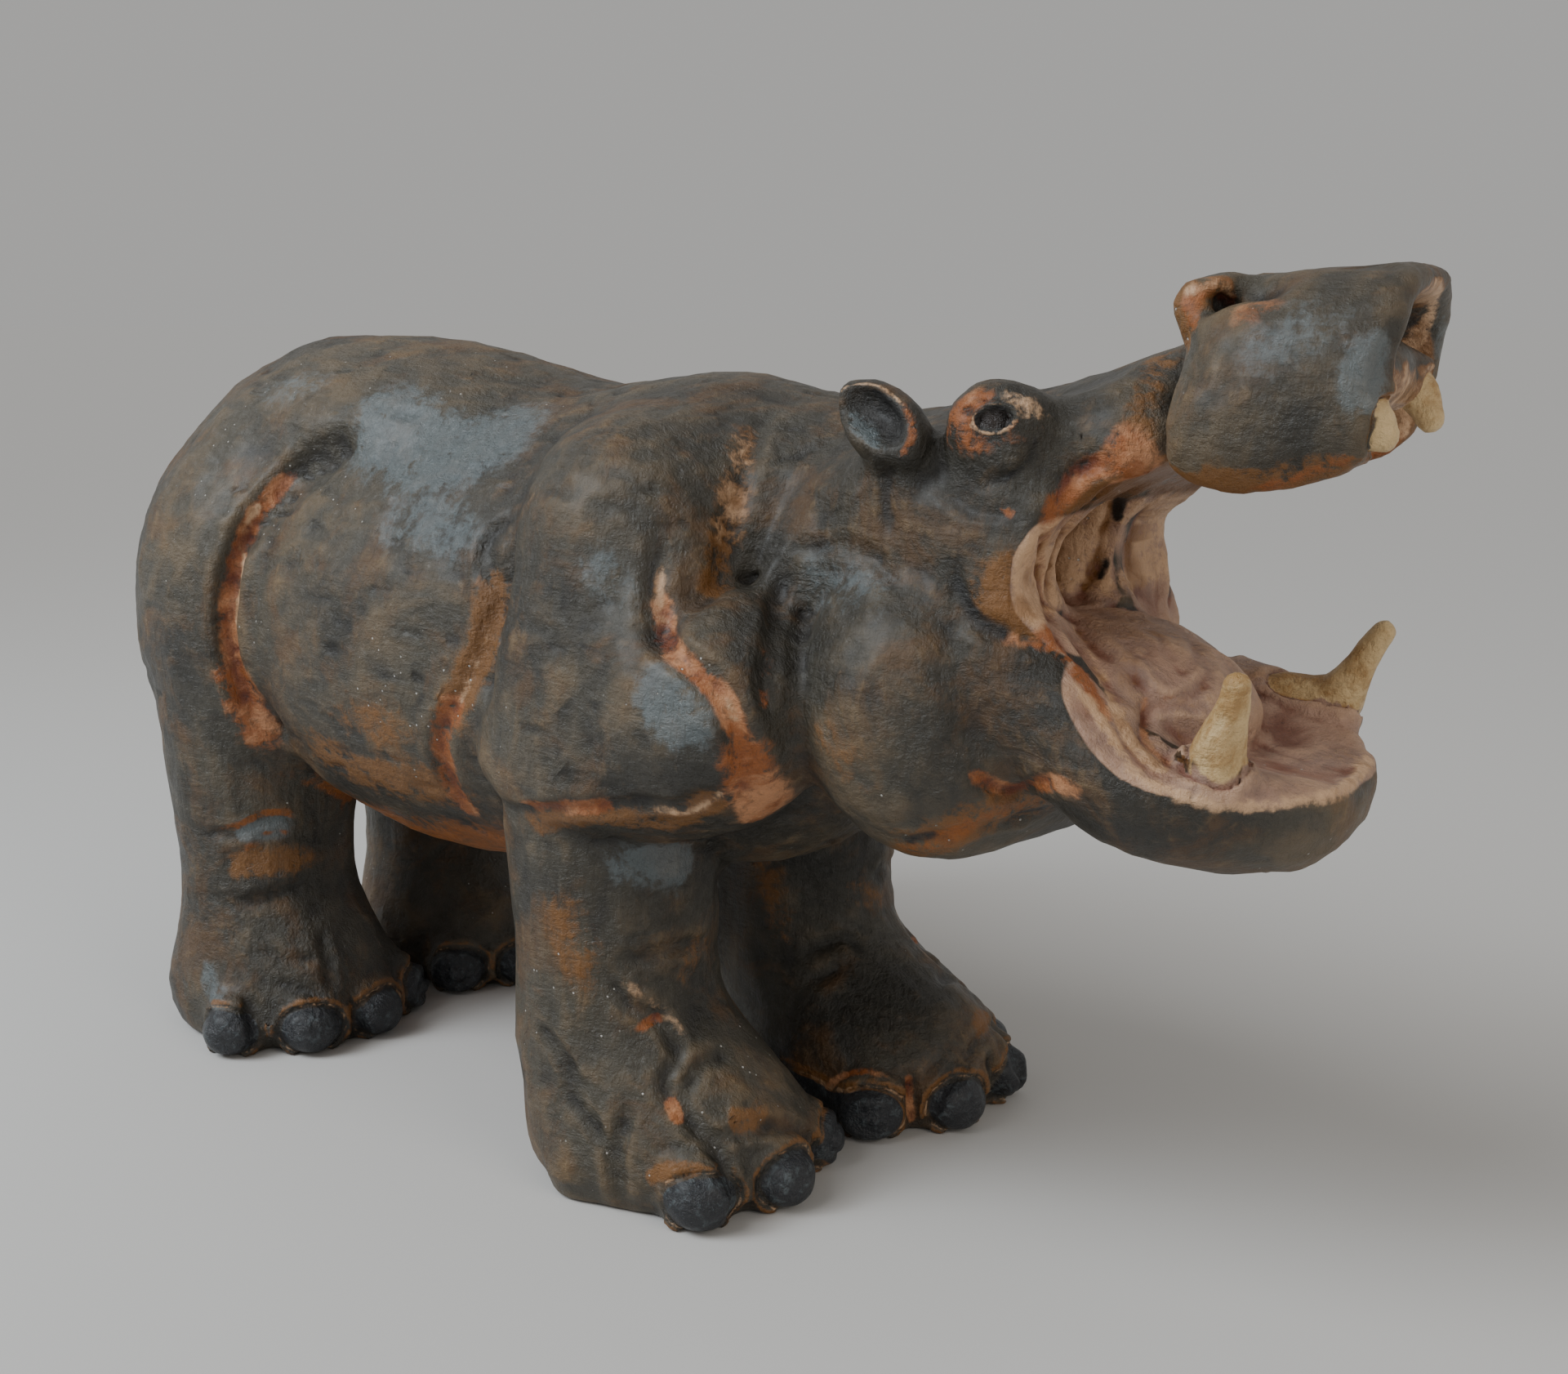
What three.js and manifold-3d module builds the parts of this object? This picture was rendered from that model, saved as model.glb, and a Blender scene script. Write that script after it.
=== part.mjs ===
// Hand-modelled ceramic hippo with its mouth wide open, fired in one piece.
// Millimetres, +Z up, the head towards +X, the soles on z = 0.
//
// The figure is modelled the way a potter builds it: lumps of clay pressed together with a soft or a
// sharp join, then hollows carved out. Each lump is a distance field. The joined field is turned into
// a closed mesh, thinned where it is flat, and trimmed level under the feet.
import * as THREE from "three";
import { mergeVertices } from "three/addons/utils/BufferGeometryUtils.js";
import Module from "manifold-3d";

// Driving dimensions
const BACK_HEIGHT = 229;
const BELLY_HEIGHT = 72;
const BODY_WIDTH = 158;
const LEG_TRACK = 89;
const FRONT_LEG_X = 70;
const HIND_LEG_X = -114;
const ANKLE_RADIUS = 29;
const RIGHT_EYE = [203, -40, 228];
const LEFT_EYE = [192, 39, 225];
const NOSE_BRIDGE = [232, 0, 226];
const NOSTRIL = [247, 22, 255.5];
const MOUTH_TURN = 8;
const MUZZLE_TURN = 15;
const MUZZLE_X = 265;
const MUZZLE_REACH = 24;

// Clay joins, as the radius over which two lumps run into each other
const SOFT = 45;
const FIRM = 20;
const PRESSED = 9;
const CREASE = 4;

// Mesh
const GRID = 3;
const TRIANGLES = 9400;

const BODY_MIDDLE = (BACK_HEIGHT + BELLY_HEIGHT) / 2;
const BODY_HALF_HEIGHT = (BACK_HEIGHT - BELLY_HEIGHT) / 2;
const BODY_HALF_WIDTH = BODY_WIDTH / 2;
const LEG_Y = LEG_TRACK / 2;

// Fields: functions of (x, y, z) that give the distance to the clay in mm, negative inside it

/** An ellipsoid, turned nose-up by tilt and to the left by turn, in degrees. */
function lump([cx, cy, cz], [rx, ry, rz], tilt = 0, turn = 0) {
  const [pitch, yaw] = [-tilt, turn].map(THREE.MathUtils.degToRad);
  const angles = new THREE.Euler(0, pitch, yaw, "ZYX");
  const m = new THREE.Matrix4().makeRotationFromEuler(angles).transpose().elements;
  return (x, y, z) => {
    const dx = x - cx;
    const dy = y - cy;
    const dz = z - cz;
    const px = (m[0] * dx + m[4] * dy + m[8] * dz) / rx;
    const py = (m[1] * dx + m[5] * dy + m[9] * dz) / ry;
    const pz = (m[2] * dx + m[6] * dy + m[10] * dz) / rz;
    const reach = Math.sqrt(px * px + py * py + pz * pz);
    const slope = Math.sqrt((px / rx) ** 2 + (py / ry) ** 2 + (pz / rz) ** 2);
    return slope < 1e-9 ? -Math.min(rx, ry, rz) : (reach * (reach - 1)) / slope;
  };
}

/** A rounded limb from one point and radius to another. */
function limb([ax, ay, az], aRadius, [bx, by, bz], bRadius) {
  const ux = bx - ax;
  const uy = by - ay;
  const uz = bz - az;
  const lengthSquared = ux * ux + uy * uy + uz * uz;
  return (x, y, z) => {
    const dot = (x - ax) * ux + (y - ay) * uy + (z - az) * uz;
    const t = Math.min(1, Math.max(0, dot / lengthSquared));
    const dx = x - ax - ux * t;
    const dy = y - ay - uy * t;
    const dz = z - az - uz * t;
    return Math.sqrt(dx * dx + dy * dy + dz * dz) - (aRadius + (bRadius - aRadius) * t);
  };
}

/** A block with rounded corners, turned nose-up by tilt, in degrees. */
function block([cx, cy, cz], [hx, hy, hz], corner, tilt = 0) {
  const cos = Math.cos(THREE.MathUtils.degToRad(tilt));
  const sin = Math.sin(THREE.MathUtils.degToRad(tilt));
  return (x, y, z) => {
    const dx = x - cx;
    const dz = z - cz;
    const qx = Math.abs(cos * dx + sin * dz) - hx + corner;
    const qy = Math.abs(y - cy) - hy + corner;
    const qz = Math.abs(cos * dz - sin * dx) - hz + corner;
    const outside = Math.hypot(Math.max(qx, 0), Math.max(qy, 0), Math.max(qz, 0));
    return outside + Math.min(Math.max(qx, qy, qz), 0) - corner;
  };
}

/** The same lump on the other side of the figure. */
const mirrored = (field) => (x, y, z) => field(x, -y, z);

/** The same lump turned to the left about the vertical through [cx, 0], in degrees. */
function turned(degrees, cx, field) {
  const cos = Math.cos(THREE.MathUtils.degToRad(degrees));
  const sin = Math.sin(THREE.MathUtils.degToRad(degrees));
  return (x, y, z) => field(cx + cos * (x - cx) + sin * y, cos * y - sin * (x - cx), z);
}

const smoothMin = (a, b, k) => {
  const overlap = Math.max(k - Math.abs(a - b), 0) / k;
  return Math.min(a, b) - (overlap * overlap * k) / 4;
};

/** Lumps pressed together, with a join of the given radius. */
function join(radius, first, ...others) {
  return (x, y, z) => {
    let d = first(x, y, z);
    for (const field of others) d = smoothMin(d, field(x, y, z), radius);
    return d;
  };
}

/** A left and a right lump, joined where they meet. */
const pair = (radius, field) => join(radius, field, mirrored(field));

/** Two lumps with a crease between them low down that fades out between two heights. */
function joinFading(lowRadius, highRadius, fadeFrom, fadeTo, a, b) {
  return (x, y, z) => {
    const t = THREE.MathUtils.smoothstep(z, fadeFrom, fadeTo);
    return smoothMin(a(x, y, z), b(x, y, z), lowRadius + (highRadius - lowRadius) * t);
  };
}

/** Clay with a hollow carved out of it. */
const carve = (radius, clay, hollow) => (x, y, z) => -smoothMin(-clay(x, y, z), hollow(x, y, z), radius);

/** Clay with a groove pressed into both flanks along a path of [x, z] points, seen from the side. */
function scored(width, depth, path, clay) {
  const segments = path.slice(1).map(([bx, bz], i) => {
    const [ax, az] = path[i];
    return { ax, az, ux: bx - ax, uz: bz - az };
  });
  return (x, y, z) => {
    let nearest = Infinity;
    for (const { ax, az, ux, uz } of segments) {
      const along = ((x - ax) * ux + (z - az) * uz) / (ux * ux + uz * uz);
      const t = Math.min(1, Math.max(0, along));
      nearest = Math.min(nearest, Math.hypot(x - ax - ux * t, z - az - uz * t));
    }
    const onFlank = THREE.MathUtils.smoothstep(Math.abs(y), FLANK_FROM, FLANK_FROM + 15);
    return clay(x, y, z) + depth * onFlank * Math.exp(-((nearest / width) ** 2));
  };
}

// The trunk: barrel, rump and withers, with the thighs and shoulders pressed on

function trunk() {
  const barrel = lump([-22, 0, BODY_MIDDLE], [126, BODY_HALF_WIDTH, BODY_HALF_HEIGHT]);
  const withers = lump([72, 0, 165], [70, 60, BACK_HEIGHT + 2 - 165]);
  const chest = lump([95, 0, 142], [52, 56, 48]);
  const neck = limb([90, 0, 176], 57, [158, 0, 181], 46);
  return join(FIRM, join(SOFT, barrel, withers), chest, neck);
}

function hindquarters() {
  const rump = lump([-104, 0, 164], [76, 72, 82]);
  const croup = lump([-58, 0, 185], [64, 52, 53]);
  const thigh = lump([-112, LEG_Y, 148], [50, 37, 62]);
  const tail = limb([-170, 0, 205], 7, [-184, 0, 160], 5);
  return join(PRESSED, join(FIRM, rump, croup, pair(FIRM, thigh)), tail);
}

function shoulders() {
  const blade = lump([86, 50, 184], [38, 30, 42]);
  const upperArm = lump([90, 50, 148], [57, 36, 37]);
  const elbow = lump([132, 60, 153], [25, 27, 27]);
  const armpitFold = lump([78, LEG_Y + 2, 125], [45, 38, 13]);
  return pair(FIRM, join(FIRM, blade, upperArm, elbow, armpitFold));
}

// A leg with its broad foot and four toes

const FOOT_RADIUS = 38;
const TOE_REACH = 38;
const SIDE_TOE_REACH = 31;
const TOE_RADIUS = 13;
const LEFT_FRONT_TOES = [-54, -14, 28, 66];
const RIGHT_FRONT_TOES = [-42, -2, 37, 105];
const HIND_TOES = [-46, -11, 25, 64];

/** A left leg: stride is how far the foot stands ahead of it, inset how far it stands in. */
function leg(axisX, kneeRadius, stride, inset, toeAngles) {
  const shaft = limb([axisX, LEG_Y, 114], kneeRadius, [axisX, LEG_Y, 44], ANKLE_RADIUS);
  const footX = axisX + stride;
  const footY = LEG_Y - inset;
  const foot = lump([footX, footY, 12], [FOOT_RADIUS, FOOT_RADIUS - 2, 26]);
  const heel = lump([footX - 12, footY, 14], [31, 33, 23]);
  const instep = limb([axisX + 2, LEG_Y, 42], 23, [footX + 16, footY, 18], 21);
  const toes = toeAngles.map((degrees) => {
    const angle = THREE.MathUtils.degToRad(degrees);
    const toeReach = degrees > 90 ? SIDE_TOE_REACH : TOE_REACH;
    const toeAt = (reach, z) => [footX + reach * Math.cos(angle), footY + reach * Math.sin(angle), z];
    return limb(toeAt(toeReach * 0.5, 22), TOE_RADIUS, toeAt(toeReach, 8), TOE_RADIUS - 1);
  });
  return join(CREASE, join(FIRM, shaft, foot, heel, instep), ...toes);
}

function legs() {
  const rightHind = mirrored(leg(HIND_LEG_X, 35, 7, 2, HIND_TOES));
  const leftHind = leg(HIND_LEG_X - 9, 39, 16, 2, HIND_TOES);
  const rightFront = mirrored(leg(FRONT_LEG_X, 33, 20, 5, RIGHT_FRONT_TOES));
  const leftFront = leg(FRONT_LEG_X - 3, 32, 31, -3, LEFT_FRONT_TOES);
  return join(CREASE, rightHind, leftHind, rightFront, leftFront);
}

// The head: skull, jowls, muzzle and lower jaw around the gaping mouth

function upperHead() {
  const skull = lump([170, 0, 191], [46, 46, 36]);
  const bridge = limb([186, 0, 208], 25, NOSE_BRIDGE, 18.5);
  const noseRise = limb(NOSE_BRIDGE, 18.5, [250, 0, 241], 13);
  const snout = block([214, 0, 214], [36, 37, 20], 17, 22);
  const cheek = lump([204, 34, 190], [24, 16, 30]);
  const temple = lump([174, 33, 204], [30, 16, 20]);
  const brows = [RIGHT_EYE, LEFT_EYE].map((eye) => lump(eye, [14, 11, 12]));
  const sides = pair(PRESSED, join(PRESSED, cheek, temple));
  return join(PRESSED, join(FIRM, skull, join(PRESSED, bridge, noseRise, snout)), sides, ...brows);
}

function muzzle() {
  const bulb = block([MUZZLE_X + 8, 0, 243.8], [31, 40, 20.3], 17, 8);
  const crown = lump([MUZZLE_X, 0, 243.5], [23, 36, 18.5]);
  const lip = lump([MUZZLE_X, 33, 230], [27, 9, 13.5], 18);
  const lipped = join(FIRM, join(PRESSED, bulb, crown), pair(CREASE, lip));
  const nostrilRing = lump(NOSTRIL, [11, 9, 9], 20);
  const openEnd = block([MUZZLE_X + MUZZLE_REACH + 48.5, 0, 235], [50, 80, 80], 2, -12);
  const whole = join(CREASE, lipped, pair(CREASE, nostrilRing));
  return turned(MUZZLE_TURN, MUZZLE_X, carve(CREASE, whole, openEnd));
}

function lowerJaw() {
  const scoop = lump([243, 0, 146], [40, 45, 28], -14);
  const ramus = limb([204, 34, 166], 19, [238, 34, 149], 14);
  return join(FIRM, scoop, pair(FIRM, ramus));
}

function jowls() {
  const lobe = lump([178, 32, 155], [36, 35, 41]);
  const throat = lump([180, 0, 150], [38, 42, 36]);
  return join(FIRM, pair(FIRM, lobe), throat);
}

function throatHollow() {
  const gullet = lump([206, 2, 192], [20, 15, 16], -10);
  const upperGape = lump([268, 0, 197], [64, 110, 29], 6, MOUTH_TURN);
  const lowerGape = lump([268, 0, 178], [58, 110, 29], -20, MOUTH_TURN);
  const leftCorner = block([233, 47, 184], [31, 22, 20], 0, 7);
  const rightShelf = lump([262, -44, 176], [36, 22, 30], -18);
  const floor = lump([246, 0, 172], [42, 35, 24], -18);
  return join(PRESSED, gullet, join(CREASE, upperGape, lowerGape), leftCorner, rightShelf, floor);
}

function palateHollow() {
  const arch = block([MUZZLE_X + 20, 0, 233], [46, 33, 24], 18, 12);
  return turned(MUZZLE_TURN, MUZZLE_X, arch);
}

function tongue() {
  return lump([226, 0, 163], [30, 27, 12], -22);
}

/** A tusk that comes out of the gum along its root and bends up to its tip. */
function tusk(root, knee, tip) {
  return join(PRESSED, limb(root, 6, knee, 5.8), limb(knee, 5.8, tip, 3.8));
}

function teeth() {
  const rightTusk = tusk([259, -31, 145], [262, -33, 155], [267.5, -37, 171.5]);
  const leftTusk = tusk([243, 40, 154], [256, 41, 154], [267.5, 42, 174]);
  const upperGum = lump([281, -4, 241], [9, 34, 9], 0, MUZZLE_TURN);
  const rightTooth = limb([291, -29, 238], 5, [296, -31, 226.5], 3.4);
  const leftTooth = limb([281, 18, 240], 5.5, [286, 18, 230], 3.6);
  return join(CREASE, rightTusk, leftTusk, upperGum, rightTooth, leftTooth);
}

/** A left ear with its middle at x and z. */
function ear(x, z) {
  const cup = lump([x, 47, z], [17, 9, 9], -25, 15);
  const hollow = lump([x + 2, 54, z], [13, 9, 5.5], -25, 15);
  const root = limb([x + 7, 38, z - 14], 8, [x + 2, 45, z - 4], 6);
  return join(PRESSED, carve(CREASE, cup, hollow), root);
}

function ears() {
  return join(CREASE, mirrored(ear(171, 229)), ear(162, 223));
}

function nostrilHoles() {
  const [x, y, z] = NOSTRIL;
  const hole = limb([x + 2, y + 3, z + 1], 4, [x + 12, y + 8, z + 5], 4.5);
  return turned(MUZZLE_TURN, MUZZLE_X, pair(CREASE, hole));
}

function eyeSockets() {
  const sockets = [RIGHT_EYE, LEFT_EYE].map(([x, y, z]) => {
    const outwards = Math.sign(y);
    return lump([x + 3, y + 12 * outwards, z + 1], [7, 4, 5]);
  });
  return join(CREASE, ...sockets);
}

// Folds pressed into the flanks, as [x, z] paths seen from the side
const FLANK_FROM = 30;
const FOLDS = [
  [[-46, 212], [-63, 200], [-82, 176], [-84, 143], [-75, 116]],
  [[57, 185], [50, 150]],
  [[140, 226], [124, 172]],
];

function figure() {
  const body = joinFading(CREASE, SOFT, 195, 230, trunk(), hindquarters());
  const withShoulders = joinFading(CREASE, FIRM, 195, 225, body, shoulders());
  const withLegs = join(CREASE, withShoulders, legs());
  const head = join(PRESSED, upperHead(), lowerJaw());
  const solid = join(CREASE, join(PRESSED, withLegs, head), jowls());
  const folded = FOLDS.reduce((clay, path) => scored(5, 4, path, clay), solid);
  const gaping = join(CREASE, carve(CREASE, folded, throatHollow()), muzzle());
  const hollowed = [palateHollow(), nostrilHoles(), eyeSockets()].reduce(
    (clay, hollow) => carve(CREASE, clay, hollow),
    gaping,
  );
  return join(CREASE, hollowed, tongue(), teeth(), ears());
}

// Meshing

const CORNERS = [0, 1, 2, 3, 4, 5, 6, 7].map((c) => [c & 1, (c >> 1) & 1, c >> 2]);
const EDGES = CORNERS.flatMap((_, c) => [1, 2, 4].filter((bit) => !(c & bit)).map((bit) => [c, c | bit]));

/** Whether the cell corners marked in a bit mask hang together along the cell's edges. */
function hangsTogether(mask) {
  let reached = mask & -mask;
  for (let grown = 0; grown !== reached; ) {
    grown = reached;
    for (const [p, q] of EDGES) {
      const ends = (1 << p) | (1 << q);
      if ((mask & ends) === ends && reached & ends) reached |= ends;
    }
  }
  return reached === mask;
}

const ONE_SHEET = Array.from({ length: 256 }, (_, mask) => hangsTogether(mask) && hangsTogether(255 & ~mask));

/** A closed mesh of the field's surface: one point in each grid cell that the surface crosses. */
function surfaceMesh(field, low, high, step) {
  const [nx, ny, nz] = low.map((v, i) => Math.ceil((high[i] - v) / step) + 1);
  const at = (i, j, k) => (k * ny + j) * nx + i;
  const values = new Float64Array(nx * ny * nz);
  for (let k = 0; k < nz; k++)
    for (let j = 0; j < ny; j++)
      for (let i = 0; i < nx; i++)
        values[at(i, j, k)] = field(low[0] + i * step, low[1] + j * step, low[2] + k * step);

  const cornersAt = (cell) => CORNERS.map(([a, b, c]) => cell + at(a, b, c));
  const maskAt = (cell) => {
    let mask = 0;
    cornersAt(cell).forEach((index, c) => (mask |= values[index] < 0 ? 1 << c : 0));
    return mask;
  };
  const cells = [];
  for (let k = 0; k < nz - 1; k++)
    for (let j = 0; j < ny - 1; j++) for (let i = 0; i < nx - 1; i++) cells.push(at(i, j, k));

  // Where two sheets of the surface meet in a cell, clay fills the corner that is nearest to it.
  for (let pinched = true; pinched; ) {
    pinched = false;
    for (const cell of cells) {
      if (ONE_SHEET[maskAt(cell)]) continue;
      const open = cornersAt(cell).filter((index) => values[index] >= 0);
      const nearest = open.reduce((best, index) => (values[index] < values[best] ? index : best));
      values[nearest] = -step / 10;
      pinched = true;
    }
  }

  const points = [];
  const pointOf = new Int32Array(values.length).fill(-1);
  for (const cell of cells) {
    const inCell = cornersAt(cell).map((index) => values[index]);
    const sum = [0, 0, 0];
    let crossings = 0;
    for (const [p, q] of EDGES) {
      if (inCell[p] < 0 === inCell[q] < 0) continue;
      const t = inCell[p] / (inCell[p] - inCell[q]);
      for (let axis = 0; axis < 3; axis++)
        sum[axis] += CORNERS[p][axis] + t * (CORNERS[q][axis] - CORNERS[p][axis]);
      crossings++;
    }
    if (!crossings) continue;
    pointOf[cell] = points.length;
    const place = [cell % nx, Math.floor(cell / nx) % ny, Math.floor(cell / (nx * ny))];
    points.push(place.map((v, axis) => low[axis] + step * (v + sum[axis] / crossings)));
  }

  const triangles = [];
  const quad = (a, b, c, d, flip) => {
    if (flip) triangles.push([a, c, b], [a, d, c]);
    else triangles.push([a, b, c], [a, c, d]);
  };
  for (let k = 1; k < nz - 1; k++)
    for (let j = 1; j < ny - 1; j++)
      for (let i = 1; i < nx - 1; i++) {
        const here = values[at(i, j, k)] < 0;
        const cell = (a, b, c) => pointOf[at(i - a, j - b, k - c)];
        if (here !== values[at(i + 1, j, k)] < 0)
          quad(cell(0, 1, 1), cell(0, 0, 1), cell(0, 0, 0), cell(0, 1, 0), !here);
        if (here !== values[at(i, j + 1, k)] < 0)
          quad(cell(1, 0, 1), cell(1, 0, 0), cell(0, 0, 0), cell(0, 0, 1), !here);
        if (here !== values[at(i, j, k + 1)] < 0)
          quad(cell(1, 1, 0), cell(0, 1, 0), cell(0, 0, 0), cell(1, 0, 0), !here);
      }
  return { points, triangles };
}

/** A queue that hands out its cheapest entry first. */
class CheapestFirst {
  entries = [];

  push(entry) {
    const list = this.entries;
    let i = list.push(entry) - 1;
    while (i > 0) {
      const parent = (i - 1) >> 1;
      if (list[parent].cost <= list[i].cost) break;
      [list[parent], list[i]] = [list[i], list[parent]];
      i = parent;
    }
  }

  pop() {
    const list = this.entries;
    const top = list[0];
    const last = list.pop();
    if (list.length) {
      list[0] = last;
      let i = 0;
      for (;;) {
        let least = i;
        for (const child of [2 * i + 1, 2 * i + 2])
          if (child < list.length && list[child].cost < list[least].cost) least = child;
        if (least === i) break;
        [list[least], list[i]] = [list[i], list[least]];
        i = least;
      }
    }
    return top;
  }
}

const minus = (a, b) => [a[0] - b[0], a[1] - b[1], a[2] - b[2]];
const cross = (a, b) => [a[1] * b[2] - a[2] * b[1], a[2] * b[0] - a[0] * b[2], a[0] * b[1] - a[1] * b[0]];
const dot = (a, b) => a[0] * b[0] + a[1] * b[1] + a[2] * b[2];
const facing = (a, b, c) => cross(minus(b, a), minus(c, a));

/** How far a point lies from the planes summed up in q, as a squared error. */
function planeError(q, [x, y, z]) {
  return (
    q[0] * x * x + 2 * q[1] * x * y + 2 * q[2] * x * z + 2 * q[3] * x +
    q[4] * y * y + 2 * q[5] * y * z + 2 * q[6] * y + q[7] * z * z + 2 * q[8] * z + q[9]
  );
}

/** The point nearest to all the planes summed up in q, or null where they are nearly parallel. */
function nearestToPlanes(q) {
  const rows = [[q[0], q[1], q[2]], [q[1], q[4], q[5]], [q[2], q[5], q[7]]];
  const across = [cross(rows[1], rows[2]), cross(rows[2], rows[0]), cross(rows[0], rows[1])];
  const determinant = dot(rows[0], across[0]);
  const size = q[0] + q[4] + q[7];
  if (determinant < 1e-5 * size ** 3) return null;
  const right = [-q[3], -q[6], -q[8]];
  return [0, 1, 2].map((i) => dot(across.map((row) => row[i]), right) / determinant);
}

/** The mesh with edges closed up, flattest first, until it has the wanted number of triangles. */
function thinned({ points, triangles }, wanted) {
  const FLIP_LIMIT = 0.25;
  const LENGTH_WEIGHT = 0.004;
  const around = points.map(() => new Set());
  const planes = points.map(() => new Float64Array(10));
  triangles.forEach((triangle, index) => {
    const [a, b, c] = triangle.map((v) => points[v]);
    const normal = facing(a, b, c);
    const area = Math.sqrt(dot(normal, normal)) || 1e-12;
    const [nx, ny, nz] = normal.map((v) => v / area);
    const d = -(nx * a[0] + ny * a[1] + nz * a[2]);
    const plane = [nx * nx, nx * ny, nx * nz, nx * d, ny * ny, ny * nz, ny * d, nz * nz, nz * d, d * d];
    for (const v of triangle) {
      around[v].add(index);
      plane.forEach((value, i) => (planes[v][i] += value * area));
    }
  });
  const version = new Int32Array(points.length);
  const neighbours = (v) => {
    const found = new Set();
    for (const index of around[v]) for (const w of triangles[index]) if (w !== v) found.add(w);
    return found;
  };
  const queue = new CheapestFirst();
  const offer = (u, v) => {
    const sum = planes[u].map((value, i) => value + planes[v][i]);
    const middle = points[u].map((value, i) => (value + points[v][i]) / 2);
    const edge = minus(points[u], points[v]);
    const lengthSquared = dot(edge, edge);
    let place = nearestToPlanes(sum);
    if (place) {
      const off = minus(place, middle);
      if (dot(off, off) > lengthSquared) place = null;
    }
    place ??= middle;
    const cost = planeError(sum, place) + LENGTH_WEIGHT * lengthSquared * lengthSquared;
    queue.push({ cost, u, v, place, sum, stamp: version[u] + version[v] });
  };
  points.forEach((_, v) => neighbours(v).forEach((w) => v < w && offer(v, w)));

  let left = triangles.length;
  while (left > wanted && queue.entries.length) {
    const { u, v, place, sum, stamp } = queue.pop();
    if (version[u] < 0 || version[v] < 0 || stamp !== version[u] + version[v]) continue;
    const shared = [...around[u]].filter((index) => around[v].has(index));
    const ringV = neighbours(v);
    const common = [...neighbours(u)].filter((w) => ringV.has(w));
    if (shared.length !== 2 || common.length !== 2) continue;
    const folds = [u, v].some((end) =>
      [...around[end]].some((index) => {
        if (shared.includes(index)) return false;
        const before = facing(...triangles[index].map((w) => points[w]));
        const after = facing(...triangles[index].map((w) => (w === end ? place : points[w])));
        return dot(before, after) < FLIP_LIMIT * Math.sqrt(dot(before, before) * dot(after, after));
      }),
    );
    if (folds) continue;
    for (const index of shared) {
      for (const w of triangles[index]) around[w].delete(index);
      triangles[index] = null;
    }
    for (const index of around[v]) {
      triangles[index] = triangles[index].map((w) => (w === v ? u : w));
      around[u].add(index);
    }
    points[u] = place;
    planes[u] = sum;
    version[u]++;
    version[v] = -1e9;
    left -= 2;
    neighbours(u).forEach((w) => offer(u, w));
  }
  return { points, triangles: triangles.filter(Boolean) };
}

function geometryOf({ points, triangles }) {
  const geometry = new THREE.BufferGeometry();
  const places = triangles.flat().flatMap((v) => points[v]);
  geometry.setAttribute("position", new THREE.Float32BufferAttribute(places, 3));
  return geometry;
}

const wasm = await Module();
wasm.setup();

function solidOf(geometry) {
  const bare = geometry.clone();
  bare.deleteAttribute("normal");
  bare.deleteAttribute("uv");
  const merged = mergeVertices(bare, 1e-4);
  const vertProperties = merged.attributes.position.array;
  const triVerts = new Uint32Array(merged.index.array);
  return new wasm.Manifold(new wasm.Mesh({ numProp: 3, vertProperties, triVerts }));
}

/** The mesh cut off level at the soles. */
function trimmedLevel(geometry) {
  const ground = new THREE.BoxGeometry(800, 400, 60).translate(0, 0, -30);
  const cut = solidOf(geometry).subtract(solidOf(ground)).getMesh();
  const level = new THREE.BufferGeometry();
  level.setAttribute("position", new THREE.BufferAttribute(cut.vertProperties, 3));
  level.setIndex(new THREE.BufferAttribute(cut.triVerts, 1));
  return level;
}

const clay = new THREE.MeshStandardMaterial({ color: 0x3b3530, roughness: 0.45, metalness: 0 });
const rough = surfaceMesh(figure(), [-204, -102, -21], [315, 102, 285], GRID);
const hippo = new THREE.Mesh(trimmedLevel(geometryOf(thinned(rough, TRIANGLES))), clay);
hippo.name = "hippo";
hippo.geometry.computeVertexNormals();

// The origin is on the ground, under the middle of the figure's box.
hippo.geometry.computeBoundingBox();
const middle = hippo.geometry.boundingBox.getCenter(new THREE.Vector3());
hippo.position.set(-middle.x, -middle.y, 0);

const figurine = new THREE.Group();
figurine.add(hippo);
export default figurine;
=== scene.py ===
"""Painted clay hippo with its mouth wide open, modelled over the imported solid.

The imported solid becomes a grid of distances, is softened and then worked like clay:
creases, rolls, lids, nails and tool marks are pressed into it along lines drawn on
the photograph and carried onto the surface. The result is one mesh, painted in
layers through point attributes. Lengths are millimetres until a mesh is made.
"""

import logging
import math
from collections.abc import Callable, Sequence
from dataclasses import dataclass, field, replace
from enum import Enum

import bmesh
import bpy
import numpy as np
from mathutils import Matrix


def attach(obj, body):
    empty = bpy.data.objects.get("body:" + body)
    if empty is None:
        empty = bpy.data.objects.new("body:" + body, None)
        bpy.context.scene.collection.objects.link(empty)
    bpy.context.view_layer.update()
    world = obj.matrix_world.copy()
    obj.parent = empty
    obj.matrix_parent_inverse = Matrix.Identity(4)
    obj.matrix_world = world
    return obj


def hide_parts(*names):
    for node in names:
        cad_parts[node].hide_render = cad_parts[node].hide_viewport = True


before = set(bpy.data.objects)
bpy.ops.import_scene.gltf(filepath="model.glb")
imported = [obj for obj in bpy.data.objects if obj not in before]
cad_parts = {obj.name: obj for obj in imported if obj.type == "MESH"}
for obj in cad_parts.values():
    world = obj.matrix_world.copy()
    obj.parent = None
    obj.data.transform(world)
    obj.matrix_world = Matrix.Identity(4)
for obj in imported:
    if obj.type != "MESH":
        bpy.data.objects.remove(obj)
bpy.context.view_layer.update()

import openvdb
from mathutils import Matrix, Vector
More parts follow.
